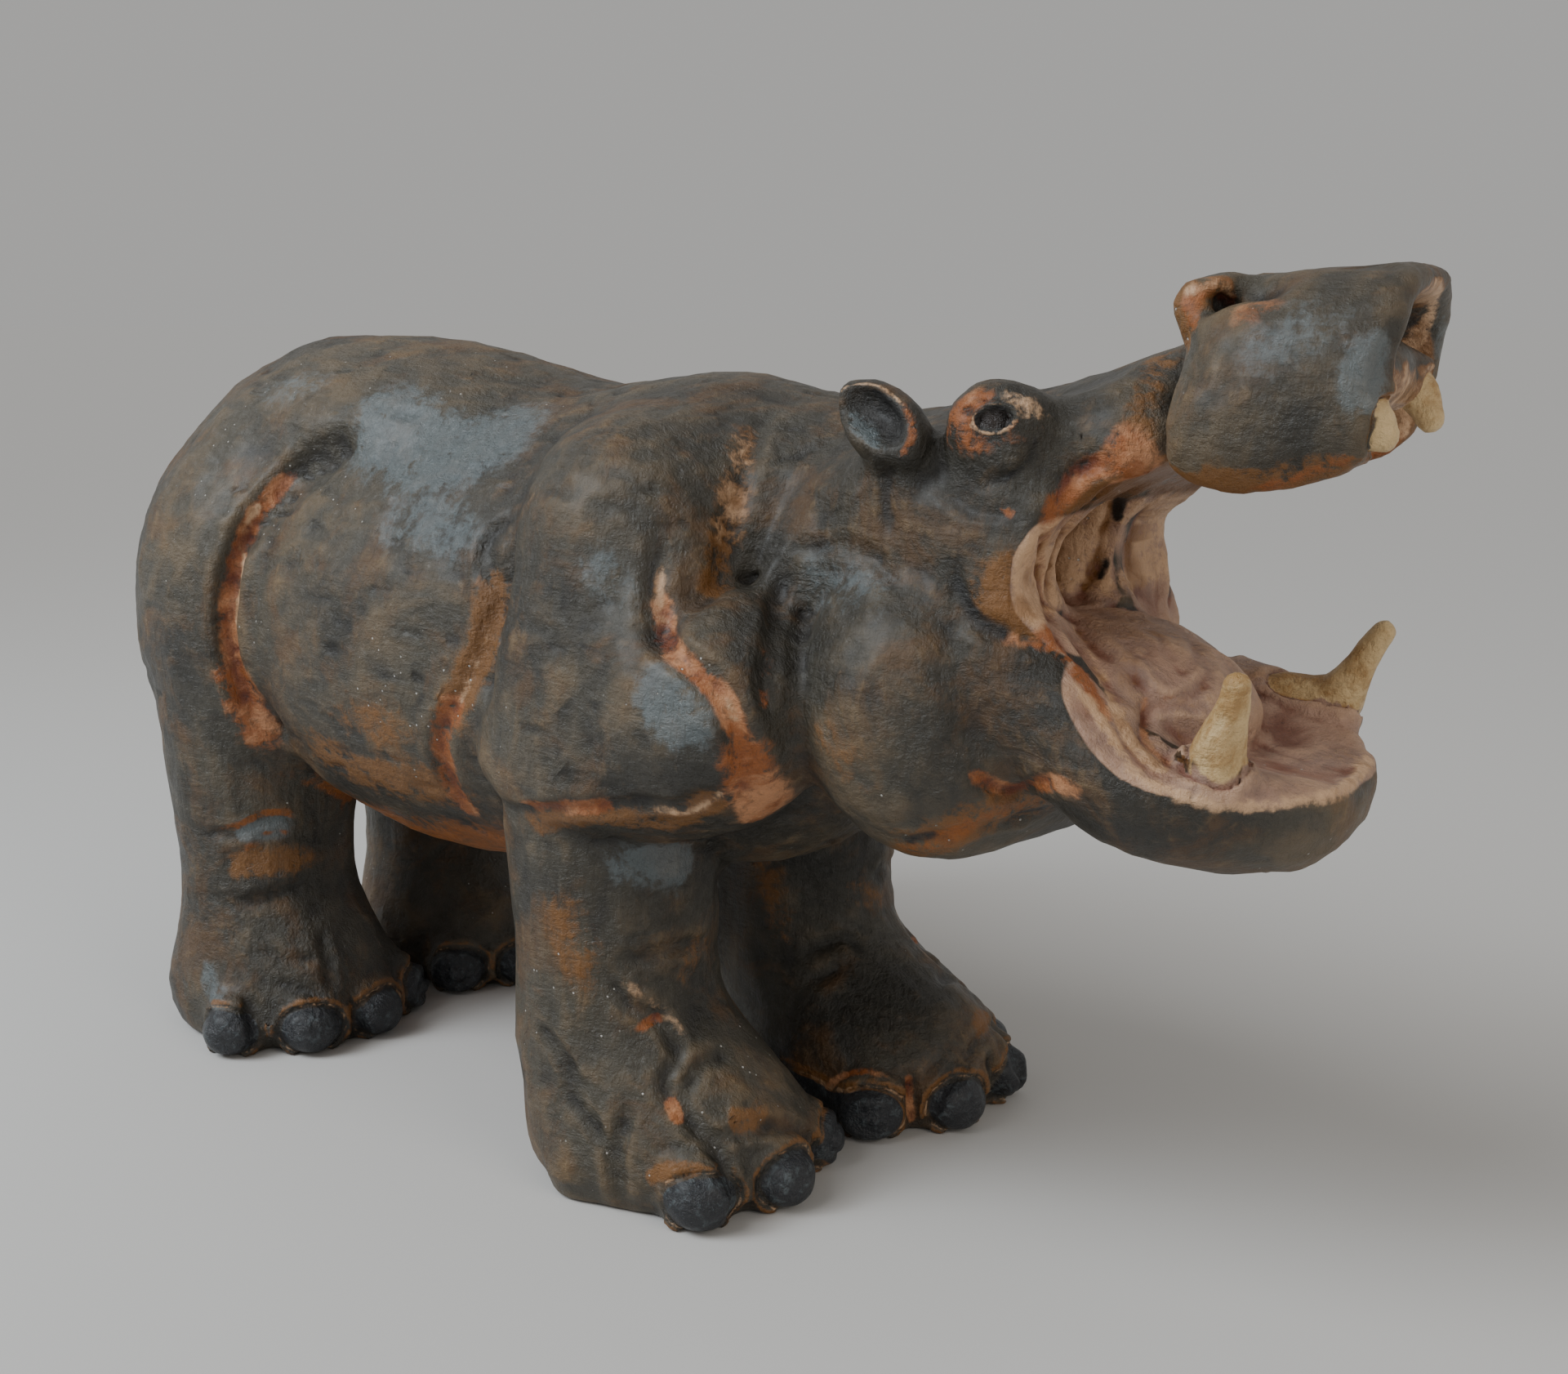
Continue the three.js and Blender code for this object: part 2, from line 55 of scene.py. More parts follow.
from mathutils.bvhtree import BVHTree

LOG = logging.getLogger("hippo")
MM = 0.001
NODE = "hippo"
SLOT = "painted_clay"
CENTRING = (-55.47, -2.65, 0.0)

Point = tuple[float, float, float]
Pixel = tuple[float, float]
Colour = tuple[float, float, float]
Shape = Callable[[np.ndarray], np.ndarray]


def placed(x: float, y: float, z: float) -> Point:
    """Carry a place from the animal's own axes to the frame of the part.

    Args:
        x: How far forwards in mm.
        y: How far to the animal's left of its spine in mm.
        z: Height in mm.

    Returns:
        The place in the part's frame, in mm.
    """
    return x + CENTRING[0], y + CENTRING[1], z + CENTRING[2]


class Paint(Enum):
    """Paint layers, each kept as one point attribute of the mesh."""

    EMBER = "ember"
    AMBER = "amber"
    OCHRE = "ochre"
    CREAM = "cream"
    FLESH = "flesh"
    IVORY = "ivory"
    NAIL = "nail"
    # Blue-grey paint, laid where highlights are painted
    SLATE_HIGHLIGHT = "slate_and_highlight"
    # Near-black painted shade
    PAINTED_SHADE = "painted_shade"
    EYE = "eye"


class Mark(Enum):
    """How a line is worked into the clay."""

    CREASE = "fold with a soft lip on both sides"
    SCORE = "fine cut"
    ROLL = "raised roll"
    BRUSH = "paint alone"


class Side(Enum):
    """Where a line drawn on the photograph is used, and how its mirrored copy is moved."""

    SEEN = None
    FLANK = (0.0, 0.0, 0.0)
    EYE = (-11.0, 0.0, -3.0)
    MUZZLE = (-11.0, -9.0, 0.0)
    FOREFOOT = (8.0, 8.0, 0.0)
    HIND_FOOT = (0.0, 0.5, 0.0)


@dataclass(frozen=True)
class Line:
    """A line on the photograph, worked and painted onto the clay.

    Attributes:
        mark: How the clay is worked along the line.
        width: Half width of the mark in mm.
        depth: Depth of a cut or height of a roll in mm.
        path: Pixels of the photograph that the line runs through.
        side: Where else the line is repeated.
        paint: Paint brushed along the line, if any.
        spread: Half width of the brush stroke in mm.
        strength: How strongly the paint covers.
    """

    mark: Mark
    width: float
    depth: float
    path: tuple[Pixel, ...]
    side: Side = Side.SEEN
    paint: Paint | None = None
    spread: float = 5.0
    strength: float = 1.0


@dataclass(frozen=True)
class Viewpoint:
    """The camera of the photograph, in the frame of the part."""

    place: Point = placed(465.5, -420.7, 255.1)
    yaw: float = -41.1
    pitch: float = 11.3
    focal: float = 2300.0
    width: int = 1920
    height: int = 1682
    sensor: float = 36.0

    def axes(self) -> tuple[np.ndarray, np.ndarray, np.ndarray]:
        """Work out the camera's axes.

        Returns:
            Unit vectors forward, right and up.
        """
        yaw = math.radians(self.yaw)
        pitch = math.radians(self.pitch)
        level = math.cos(pitch)
        forward = np.array([math.sin(yaw) * level, math.cos(yaw) * level, -math.sin(pitch)])
        right = np.array([math.cos(yaw), -math.sin(yaw), 0.0])
        return forward, right, np.cross(right, forward)

    def ray(self, pixel: Pixel) -> Vector:
        """Direction of sight through a pixel.

        Args:
            pixel: Place on the photograph.

        Returns:
            The unit direction from the camera.
        """
        forward, right, up = self.axes()
        across = pixel[0] - self.width / 2
        rise = self.height / 2 - pixel[1]
        return Vector(forward * self.focal + right * across + up * rise).normalized()

    def make_camera(self) -> bpy.types.Object:
        """Place the camera and make it the scene's own.

        Returns:
            The camera object.
        """
        forward, right, up = self.axes()
        data = bpy.data.cameras.new("camera")
        data.sensor_fit = "HORIZONTAL"
        data.sensor_width = self.sensor
        data.lens = self.focal / self.width * self.sensor
        data.clip_start = 0.01
        camera = bpy.data.objects.new("camera", data)
        turn = Matrix((right, up, -forward)).transposed().to_4x4()
        camera.matrix_world = Matrix.Translation(Vector(self.place) * MM) @ turn
        bpy.context.scene.collection.objects.link(camera)
        bpy.context.scene.camera = camera
        return camera


def smooth_step(values: np.ndarray, start: float, end: float) -> np.ndarray:
    """Ease from 0 at start to 1 at end.

    Args:
        values: Numbers to ease.
        start: Where the result is 0.
        end: Where the result is 1.

    Returns:
        Numbers from 0 to 1.
    """
    t = np.clip((values - start) / (end - start), 0.0, 1.0)
    return t * t * (3.0 - 2.0 * t)


def smooth_min(first: np.ndarray, second: np.ndarray, radius: float) -> np.ndarray:
    """Join two distance fields with a rounded valley.

    Args:
        first: Distances of one shape in mm.
        second: Distances of the other shape in mm.
        radius: Radius of the join in mm.

    Returns:
        Distances of both shapes together.
    """
    overlap = np.maximum(radius - np.abs(first - second), 0.0) / radius
    return np.minimum(first, second) - overlap * overlap * radius / 4.0


def distance_to_path(points: np.ndarray, path: np.ndarray) -> tuple[np.ndarray, np.ndarray]:
    """Measure points against a path of straight steps.

    Args:
        points: Places in mm, one row each.
        path: Points of the path in mm, one row each.

    Returns:
        Distance of each place from the path in mm, and how far along it lies, 0 to 1.
    """
    best = np.full(len(points), np.inf, np.float32)
    along = np.zeros(len(points), np.float32)
    steps = np.diff(path, axis=0)
    lengths = np.maximum(np.linalg.norm(steps, axis=1), 1e-6)
    walked = np.concatenate([[0.0], np.cumsum(lengths)])
    for start, step, length, before in zip(path[:-1], steps, lengths, walked[:-1]):
        offset = points - start.astype(np.float32)
        t = np.clip(offset @ step.astype(np.float32) / (length * length), 0.0, 1.0)
        gap = np.linalg.norm(offset - t[:, None] * step.astype(np.float32), axis=1)
        nearer = gap < best
        best[nearer] = gap[nearer]
        along[nearer] = (before + t[nearer] * length) / walked[-1]
    return best, along


def limb(points: np.ndarray, start: Point, start_radius: float, end: Point, end_radius: float) -> np.ndarray:
    """Distances from a rounded limb that tapers between two points.

    Args:
        points: Places in mm, one row each.
        start: First end of the limb.
        start_radius: Radius there in mm.
        end: Other end of the limb.
        end_radius: Radius there in mm.

    Returns:
        Distances in mm, negative inside.
    """
    away, along = distance_to_path(points, np.array([start, end]))
    return away - (start_radius + (end_radius - start_radius) * along)


@dataclass(frozen=True)
class Lump:
    """An ellipsoid of clay, or of space cut from it."""

    centre: Point
    radii: Point
    tilt: float = 0.0
    turn: float = 0.0

    def distance(self, points: np.ndarray) -> np.ndarray:
        """Rough distance of points from the lump's skin.

        Args:
            points: Places in mm, one row each.

        Returns:
            Distances in mm, negative inside.
        """
        spin = Matrix.Rotation(math.radians(self.turn), 3, "Z")
        spin = spin @ Matrix.Rotation(math.radians(-self.tilt), 3, "Y")
        local = (points - np.array(self.centre)) @ np.array(spin)
        scaled = local / np.array(self.radii)
        reach = np.linalg.norm(scaled, axis=1)
        slope = np.linalg.norm(scaled / np.array(self.radii), axis=1)
        return reach * (reach - 1.0) / np.maximum(slope, 1e-6)


class Skin:
    """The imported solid's surface, which carries everything drawn on the photograph."""

    LONGEST_STEP = 12.0
    STEPS = 4

    def __init__(self, solid: bpy.types.Mesh, viewpoint: Viewpoint) -> None:
        """Merge the solid's triangles and index them.

        Args:
            solid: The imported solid's mesh, in metres.
            viewpoint: The camera of the photograph.
        """
        work = bmesh.new()
        work.from_mesh(solid)
        bmesh.ops.remove_doubles(work, verts=work.verts, dist=1e-6)
        bmesh.ops.triangulate(work, faces=work.faces)
        self.points = np.array([v.co for v in work.verts], np.float32) / MM
        self.triangles = np.array([[v.index for v in f.verts] for f in work.faces], np.uint32)
        work.free()
        self.tree = BVHTree.FromPolygons(self.points.tolist(), self.triangles.tolist())
        self.viewpoint = viewpoint

    def hit(self, pixel: Pixel) -> np.ndarray | None:
        """Place on the surface that shows at a pixel.

        Args:
            pixel: Place on the photograph.

        Returns:
            The place in mm, or nothing where the ray passes the figure.
        """
        place = self.tree.ray_cast(Vector(self.viewpoint.place), self.viewpoint.ray(pixel))[0]
        return None if place is None else np.array(place)

    def settle(self, place: Sequence[float]) -> tuple[np.ndarray, np.ndarray]:
        """Nearest place on the surface.

        Args:
            place: Any place in mm.

        Returns:
            The nearest place in mm, and the outward direction there.
        """
        nearest, normal, _, _ = self.tree.find_nearest(Vector(place))
        return np.array(nearest), np.array(normal)

    def trace(self, pixels: Sequence[Pixel]) -> np.ndarray:
        """Carry a line of pixels onto the surface.

        Args:
            pixels: Points of the line on the photograph.

        Returns:
            The longest unbroken run of places in mm.
        """
        runs: list[list[np.ndarray]] = [[]]
        for pixel in rounded_line(pixels, self.STEPS):
            place = self.hit(pixel)
            last = runs[-1]
            if place is None or (last and np.linalg.norm(place - last[-1]) > self.LONGEST_STEP):
                runs.append([])
            if place is not None:
                runs[-1].append(place)
        return np.array(max(runs, key=len))

    def moved(self, path: np.ndarray, shift: Point) -> np.ndarray:
        """Mirror a path to the left, move it and lay it on the surface again.

        Args:
            path: Places on the right side in mm.
            shift: How far the mirrored path is moved.

        Returns:
            Places on the left side in mm.
        """
        flipped = path * [1.0, -1.0, 1.0] + [0.0, 2.0 * CENTRING[1], 0.0] + np.array(shift)
        return np.array([self.settle(place)[0] for place in flipped])


def rounded_line(pixels: Sequence[Pixel], steps: int) -> list[Pixel]:
    """Round a line of pixels off through its points.

    Args:
        pixels: Points of the line.
        steps: Points made between two of them.

    Returns:
        The finer line.
    """
    corners = np.array([pixels[0], *pixels, pixels[-1]], float)
    finer = []
    for a, b, c, d in zip(corners, corners[1:], corners[2:], corners[3:]):
        for t in np.arange(steps) / steps:
            bend = (2 * a - 5 * b + 4 * c - d) * t + (3 * b - a - 3 * c + d) * t * t
            finer.append(tuple(b + 0.5 * t * (c - a + bend)))
    finer.append(tuple(corners[-1]))
    return finer


class Clay:
    """The figure as a grid of distances from its skin, worked in mm."""

    def __init__(self, skin: Skin, voxel: float, band: float) -> None:
        """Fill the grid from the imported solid.

        Args:
            skin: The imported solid's surface.
            voxel: Grid step in mm.
            band: How far from the skin distances are kept, in mm.
        """
        self.voxel = voxel
        self.band = band
        self.transform = openvdb.createLinearTransform(voxelSize=voxel)
        grid = openvdb.FloatGrid.createLevelSetFromPolygons(
            skin.points, triangles=skin.triangles, transform=self.transform, halfWidth=band / voxel
        )
        low, high = grid.evalActiveVoxelBoundingBox()
        self.low = np.array(low)
        self.values = np.empty(np.array(high) - self.low + 1, np.float32)
        grid.copyToArray(self.values, ijk=tuple(low))

    def soften(self, reach: int, times: int) -> None:
        """Smear the solid's facets into soft clay.

        Args:
            reach: Half width of the smear in grid steps.
            times: How often it is repeated.
        """
        count = 2 * reach + 1
        for _ in range(times):
            for axis in range(3):
                lines = np.moveaxis(self.values, axis, 0)
                padded = np.pad(lines, [(reach, reach), (0, 0), (0, 0)], mode="edge")
                total = sum(padded[k:k + len(lines)] for k in range(count))
                self.values = np.ascontiguousarray(np.moveaxis(total / np.float32(count), 0, axis))

    def patch(self, low: np.ndarray, high: np.ndarray, near: bool) -> tuple[np.ndarray, ...]:
        """Part of the grid inside a box.

        Args:
            low: Lowest corner of the box in mm.
            high: Highest corner of the box in mm.
            near: Whether only steps close to the skin are taken.

        Returns:
            The grid's values in the box, which of them are taken, and their places in mm.
        """
        first = np.clip(np.floor(low / self.voxel).astype(int) - self.low, 0, self.values.shape)
        last = np.clip(np.ceil(high / self.voxel).astype(int) - self.low + 1, 0, self.values.shape)
        values = self.values[tuple(slice(a, b) for a, b in zip(first, last))]
        taken = np.abs(values) < self.band * 0.99 if near else np.ones(values.shape, bool)
        places = (np.argwhere(taken) + first + self.low) * self.voxel
        return values, taken, places.astype(np.float32)

    def press(self, path: np.ndarray, mark: Mark, width: float, depth: float) -> None:
        """Work a crease, a cut or a roll along a path on the skin.

        Args:
            path: Points of the path in mm.
            mark: How the clay is worked.
            width: Half width in mm.
            depth: Depth or height in mm.
        """
        if mark is Mark.BRUSH or len(path) < 2:
            return
        reach = 4.0 * width + 2.0
        values, taken, places = self.patch(path.min(axis=0) - reach, path.max(axis=0) + reach, True)
        away, along = distance_to_path(places, path)
        fade = np.clip(5.0 * np.minimum(along, 1.0 - along) + 0.2, 0.0, 1.0)
        work = np.exp(-((away / width) ** 2))
        if mark is Mark.CREASE:
            work -= 0.3 * np.exp(-(((away - 2.0 * width) / width) ** 2))
        if mark is Mark.ROLL:
            work = -work
        values[taken] += depth * fade * work

    def work(self, low: np.ndarray, high: np.ndarray, change: Shape) -> None:
        """Move the skin inside a box.

        Args:
            low: Lowest corner of the box in mm.
            high: Highest corner of the box in mm.
            change: How far the skin sinks at each place, in mm.
        """
        values, taken, places = self.patch(low, high, True)
        values[taken] += change(places)

    def add(self, low: np.ndarray, high: np.ndarray, shape: Shape, blend: float) -> None:
        """Press more clay on inside a box.

        Args:
            low: Lowest corner of the box in mm.
            high: Highest corner of the box in mm.
            shape: Distances of the clay that is added.
            blend: Radius of the join in mm.
        """
        values, taken, places = self.patch(low, high, False)
        values[taken] = smooth_min(values[taken], shape(places), blend)

    def cut(self, low: np.ndarray, high: np.ndarray, shape: Shape, blend: float) -> None:
        """Cut clay away inside a box.

        Args:
            low: Lowest corner of the box in mm.
            high: Highest corner of the box in mm.
            shape: Distances of the space that is cut.
            blend: Radius of the rim in mm.
        """
        values, taken, places = self.patch(low, high, False)
        values[taken] = -smooth_min(-values[taken], shape(places), blend)

    def mesh(self, name: str) -> bpy.types.Mesh:
        """Turn the grid into a mesh, cut level at the floor.

        Args:
            name: Name of the mesh.

        Returns:
            A closed mesh in metres.
        """
        heights = ((np.arange(self.values.shape[2]) + self.low[2]) * self.voxel).astype(np.float32)
        values = np.clip(np.maximum(self.values, -heights), -self.band, self.band)
        grid = openvdb.FloatGrid(self.band)
        grid.transform = self.transform
        grid.copyFromArray(values, ijk=tuple(int(v) for v in self.low))
        points, triangles, quads = grid.convertToPolygons(isovalue=0.0, adaptivity=0.0)
        mesh = bpy.data.meshes.new(name)
        corners = np.concatenate([triangles.ravel(), quads.ravel()]).astype(np.int32)
        sizes = np.concatenate([np.full(len(triangles), 3), np.full(len(quads), 4)])
        mesh.vertices.add(len(points))
        mesh.vertices.foreach_set("co", (points * MM).ravel())
        mesh.loops.add(len(corners))
        mesh.loops.foreach_set("vertex_index", corners)
        mesh.polygons.add(len(sizes))
        mesh.polygons.foreach_set("loop_start", np.cumsum(sizes) - sizes)
        mesh.update(calc_edges=True)
        turn_outwards(mesh)
        return mesh


def turn_outwards(mesh: bpy.types.Mesh) -> None:
    """Make a closed mesh's faces point outwards.

    Args:
        mesh: The mesh to turn.
    """
    work = bmesh.new()
    work.from_mesh(mesh)
    if work.calc_volume(signed=True) < 0.0:
        bmesh.ops.reverse_faces(work, faces=work.faces)
    work.to_mesh(mesh)
    work.free()


class Coat:
    """Paint on the finished mesh, one strength per point and layer."""

    def __init__(self, mesh: bpy.types.Mesh) -> None:
        """Read the mesh that is painted.

        Args:
            mesh: The finished mesh, in metres.
        """
        self.mesh = mesh
        count = len(mesh.vertices)
        places = np.empty(count * 3, np.float32)
        mesh.vertices.foreach_get("co", places)
        normals = np.empty(count * 3, np.float32)
        mesh.vertices.foreach_get("normal", normals)
        self.places = places.reshape(-1, 3) / MM
        self.normals = normals.reshape(-1, 3)
        self.layers = {paint: np.zeros(count, np.float32) for paint in Paint}

    def brush(self, paint: Paint, amount: np.ndarray) -> None:
        """Lay paint on where it is stronger than what is there.

        Args:
            paint: The layer.
            amount: Strength at each point, 0 to 1.
        """
        self.layers[paint] = np.maximum(self.layers[paint], amount)

    def stroke(self, paint: Paint, path: np.ndarray, spread: float, strength: float) -> None:
        """Brush along a path.

        Args:
            paint: The layer.
            path: Points of the path in mm.
            spread: Half width of the stroke in mm.
            strength: How strongly it covers.
        """
        reach = 2.5 * spread
        inside = np.all((self.places > path.min(0) - reach) & (self.places < path.max(0) + reach), axis=1)
        chosen = np.flatnonzero(inside)
        if len(path) < 2 or not len(chosen):
            return
        away = distance_to_path(self.places[chosen], path)[0]
        amount = np.zeros(len(self.places), np.float32)
        amount[chosen] = strength * np.exp(-((away / spread) ** 2))
        self.brush(paint, amount)

    def relief(self) -> tuple[np.ndarray, np.ndarray]:
        """Find hollows, which get painted shade, and ridges of the finished surface.

        Returns:
            How deep in the hollows each point lies, for painted shade, and how proud it is, 0 to 1.
        """
        count = len(self.places)
        ends = np.empty(len(self.mesh.edges) * 2, np.int32)
        self.mesh.edges.foreach_get("vertices", ends)
        first, second = ends.reshape(-1, 2).T
        degree = np.bincount(ends, minlength=count).astype(np.float32)[:, None]
        smooth = self.places.copy()
        for _ in range(6):
            total = np.empty_like(smooth)
            for axis in range(3):
                total[:, axis] = np.bincount(first, smooth[second, axis], count)
                total[:, axis] += np.bincount(second, smooth[first, axis], count)
            smooth = total / np.maximum(degree, 1.0)
        depth = np.einsum("ij,ij->i", smooth - self.places, self.normals)
        return smooth_step(depth, 0.05, 0.7), smooth_step(-depth, 0.05, 0.7)

    def store(self) -> None:
        """Write every layer, and the hollows for painted shade and the ridges, to the mesh."""
        hollow, proud = self.relief()
        layers = {paint.value: amount for paint, amount in self.layers.items()}
        layers.update(hollow=hollow, proud=proud)
        for name, amount in layers.items():
            data = self.mesh.attributes.new(name, "FLOAT", "POINT").data
            data.foreach_set("value", np.clip(amount, 0.0, 1.0).astype(np.float32))


@dataclass
class Folds:
    """Creases, rolls and brush strokes drawn on the photograph."""

    lines: tuple[Line, ...] = ()
    paths: list[tuple[Line, np.ndarray]] = field(default_factory=list)

    def lay(self, skin: Skin) -> None:
        """Carry every line onto the surface, with its copies.

        Args:
            skin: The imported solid's surface.
        """
        for line in self.lines:
            path = skin.trace(line.path)
            self.paths.append((line, path))
            if line.side is not Side.SEEN and len(path):
                self.paths.append((line, skin.moved(path, line.side.value)))

    def shape(self, clay: Clay, skin: Skin) -> None:
        """Press every line into the clay.

        Args:
            clay: The figure.
            skin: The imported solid's surface.
        """
        self.lay(skin)
        for line, path in self.paths:
            clay.press(path, line.mark, line.width, line.depth)

    def paint(self, coat: Coat) -> None:
        """Brush the painted lines.

        Args:
            coat: The figure's paint.
        """
        for line, path in self.paths:
            if line.paint is not None and len(path) > 1:
                coat.stroke(line.paint, path, line.spread, line.strength)


@dataclass
class Eyes:
    """Small eyes with heavy lids on their mounds."""

    right: Point = placed(207.0, -51.0, 230.0)
    left: Point = placed(196.0, 51.0, 227.0)
    outward: Point = (0.46, 0.82, 0.34)
    length: float = 4.4
    height: float = 2.6
    ball: float = 3.7
    lid: float = 0.9
    frames: list[tuple[np.ndarray, np.ndarray]] = field(default_factory=list)

    def local(self, places: np.ndarray, eye: int) -> np.ndarray:
        """Places as seen from an eye: forwards, up and out of the head.

        Args:
            places: Places in mm.
            eye: Number of the eye.

        Returns:
            The same places in the eye's own axes.
        """
        centre, axes = self.frames[eye]
        return (places - centre) @ axes

    def almond(self, local: np.ndarray) -> np.ndarray:
        """How far out of the lids' opening a place lies, 1 at the lids.

        Args:
            local: Places in the eye's own axes.

        Returns:
            Shares of the opening's size.
        """
        return np.hypot(local[:, 0] / self.length, local[:, 1] / self.height)

    def shape(self, clay: Clay, skin: Skin) -> None:
        """Open the lids, set the balls and raise the lids' rims.

        Args:
            clay: The figure.
            skin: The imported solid's surface.
        """
        for place, side in ((self.right, -1.0), (self.left, 1.0)):
            centre = skin.settle(place)[0]
            out = np.array([self.outward[0], side * self.outward[1], self.outward[2]])
            out /= np.linalg.norm(out)
            ahead = np.cross([0.0, 0.0, 1.0], out) * -side
            ahead /= np.linalg.norm(ahead)
            up = np.cross(out, ahead) * -side
            self.frames.append((centre, np.stack([ahead, up, out], axis=1)))
        reach = 3.0 * self.length
        for eye, (centre, _) in enumerate(self.frames):
            clay.work(centre - reach, centre + reach, lambda p, e=eye: self.socket(p, e))
            clay.add(centre - reach, centre + reach, lambda p, e=eye: self.eyeball(p, e), 0.3)

    def socket(self, places: np.ndarray, eye: int) -> np.ndarray:
        """How the lids and the socket move the skin.

        Args:
            places: Places in mm.
            eye: Number of the eye.

        Returns:
            How far the skin sinks in mm.
        """
        local = self.local(places, eye)
        opening = self.almond(local)
        sink = 3.4 * (1.0 - smooth_step(opening, 0.7, 1.05))
        rim = np.exp(-(((opening - 1.25) / 0.22) ** 2))
        groove = np.exp(-(((opening - 1.75) / 0.16) ** 2)) * smooth_step(local[:, 1], 0.0, 2.5)
        return sink - self.lid * rim + 0.8 * groove

    def eyeball(self, places: np.ndarray, eye: int) -> np.ndarray:
        """Distances from the eye's ball.

        Args:
            places: Places in mm.
            eye: Number of the eye.

        Returns:
            Distances in mm, negative inside.
        """
        local = self.local(places, eye)
        return np.linalg.norm(local + [0.0, 0.0, self.ball + 0.2], axis=1) - self.ball

    def paint(self, coat: Coat) -> None:
        """Paint the ball black, the lower lid cream and the mound orange, with painted shade along the lids'
        edge.

        Args:
            coat: The figure's paint.
        """
        for eye in range(len(self.frames)):
            local = self.local(coat.places, eye)
            close = np.linalg.norm(local, axis=1) < 4.0 * self.length
            opening = np.where(close, self.almond(local), 9.0)
            below = smooth_step(-local[:, 1], -0.5, 1.5)
            behind = smooth_step(-local[:, 0], -5.0, 4.0)
            mound = np.exp(-(((opening - 2.1) / 1.3) ** 2))
            coat.brush(Paint.EMBER, 0.75 * mound * np.maximum(behind, 0.2 + 0.4 * below))
            coat.brush(Paint.CREAM, 0.62 * mound * (1.0 - behind) * (1.0 - below))
            lower = np.exp(-(((opening - 1.3) / 0.22) ** 2)) * below
            coat.brush(Paint.CREAM, 0.75 * lower)
            coat.brush(Paint.EMBER, 0.8 * lower * smooth_step(local[:, 0], 1.0, 4.0))
            coat.brush(Paint.CREAM, 0.6 * np.exp(-(((opening - 1.18) / 0.1) ** 2)))
            coat.brush(Paint.EYE, 1.0 - smooth_step(opening, 0.78, 0.98))
            # Painted shade in a thin dark ring where the lids meet the ball
            coat.brush(Paint.PAINTED_SHADE, 0.9 * np.exp(-(((opening - 1.0) / 0.12) ** 2)))


@dataclass
class Ears:
    """Cupped ears, dark inside with painted shade and a blue-grey painted highlight low in the cup, with a pale
    rim and a red lower tip.
    """

    right: Lump = Lump(placed(172.5, -56.0, 229.5), (14.5, 10.0, 6.2), -25.0, -15.0)
    left: Lump = Lump(placed(163.5, 56.0, 223.5), (14.5, 10.0, 6.2), -25.0, 15.0)
    reach: float = 24.0

    def shape(self, clay: Clay, skin: Skin) -> None:
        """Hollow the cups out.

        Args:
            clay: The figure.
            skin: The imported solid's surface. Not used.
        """
        for cup in (self.right, self.left):
            centre = np.array(cup.centre)
            clay.cut(centre - self.reach, centre + self.reach, cup.distance, 1.2)

    def paint(self, coat: Coat) -> None:
        """Darken the cups with painted shade, lay a blue-grey painted highlight low in them and rub their rims
        pale.

        Args:
            coat: The figure's paint.
        """
        for cup in (self.right, self.left):
            offset = coat.places - np.array(cup.centre)
            close = np.linalg.norm(offset, axis=1) < self.reach
            depth = np.where(close, cup.distance(coat.places), 9.0)
            inside = 1.0 - smooth_step(depth, 0.2, 1.2)
            ahead = smooth_step(offset[:, 0], 4.0, 12.0)
            low = smooth_step(-offset[:, 0] * 0.6 - offset[:, 2], 1.0, 6.0)
            # Painted shade darkens the inside of each cup
            coat.brush(Paint.PAINTED_SHADE, inside * (1.0 - 0.75 * low) * (1.0 - 0.6 * ahead))
            # Blue-grey painted highlight low in each cup
            coat.brush(Paint.SLATE_HIGHLIGHT, 0.9 * inside * low)
            coat.brush(Paint.EMBER, 0.85 * np.exp(-(((depth - 1.4) / 1.6) ** 2)) * ahead)
            rim = np.exp(-(((depth - 1.7) / 0.6) ** 2))
            coat.brush(Paint.CREAM, 0.5 * rim * (1.0 - low))


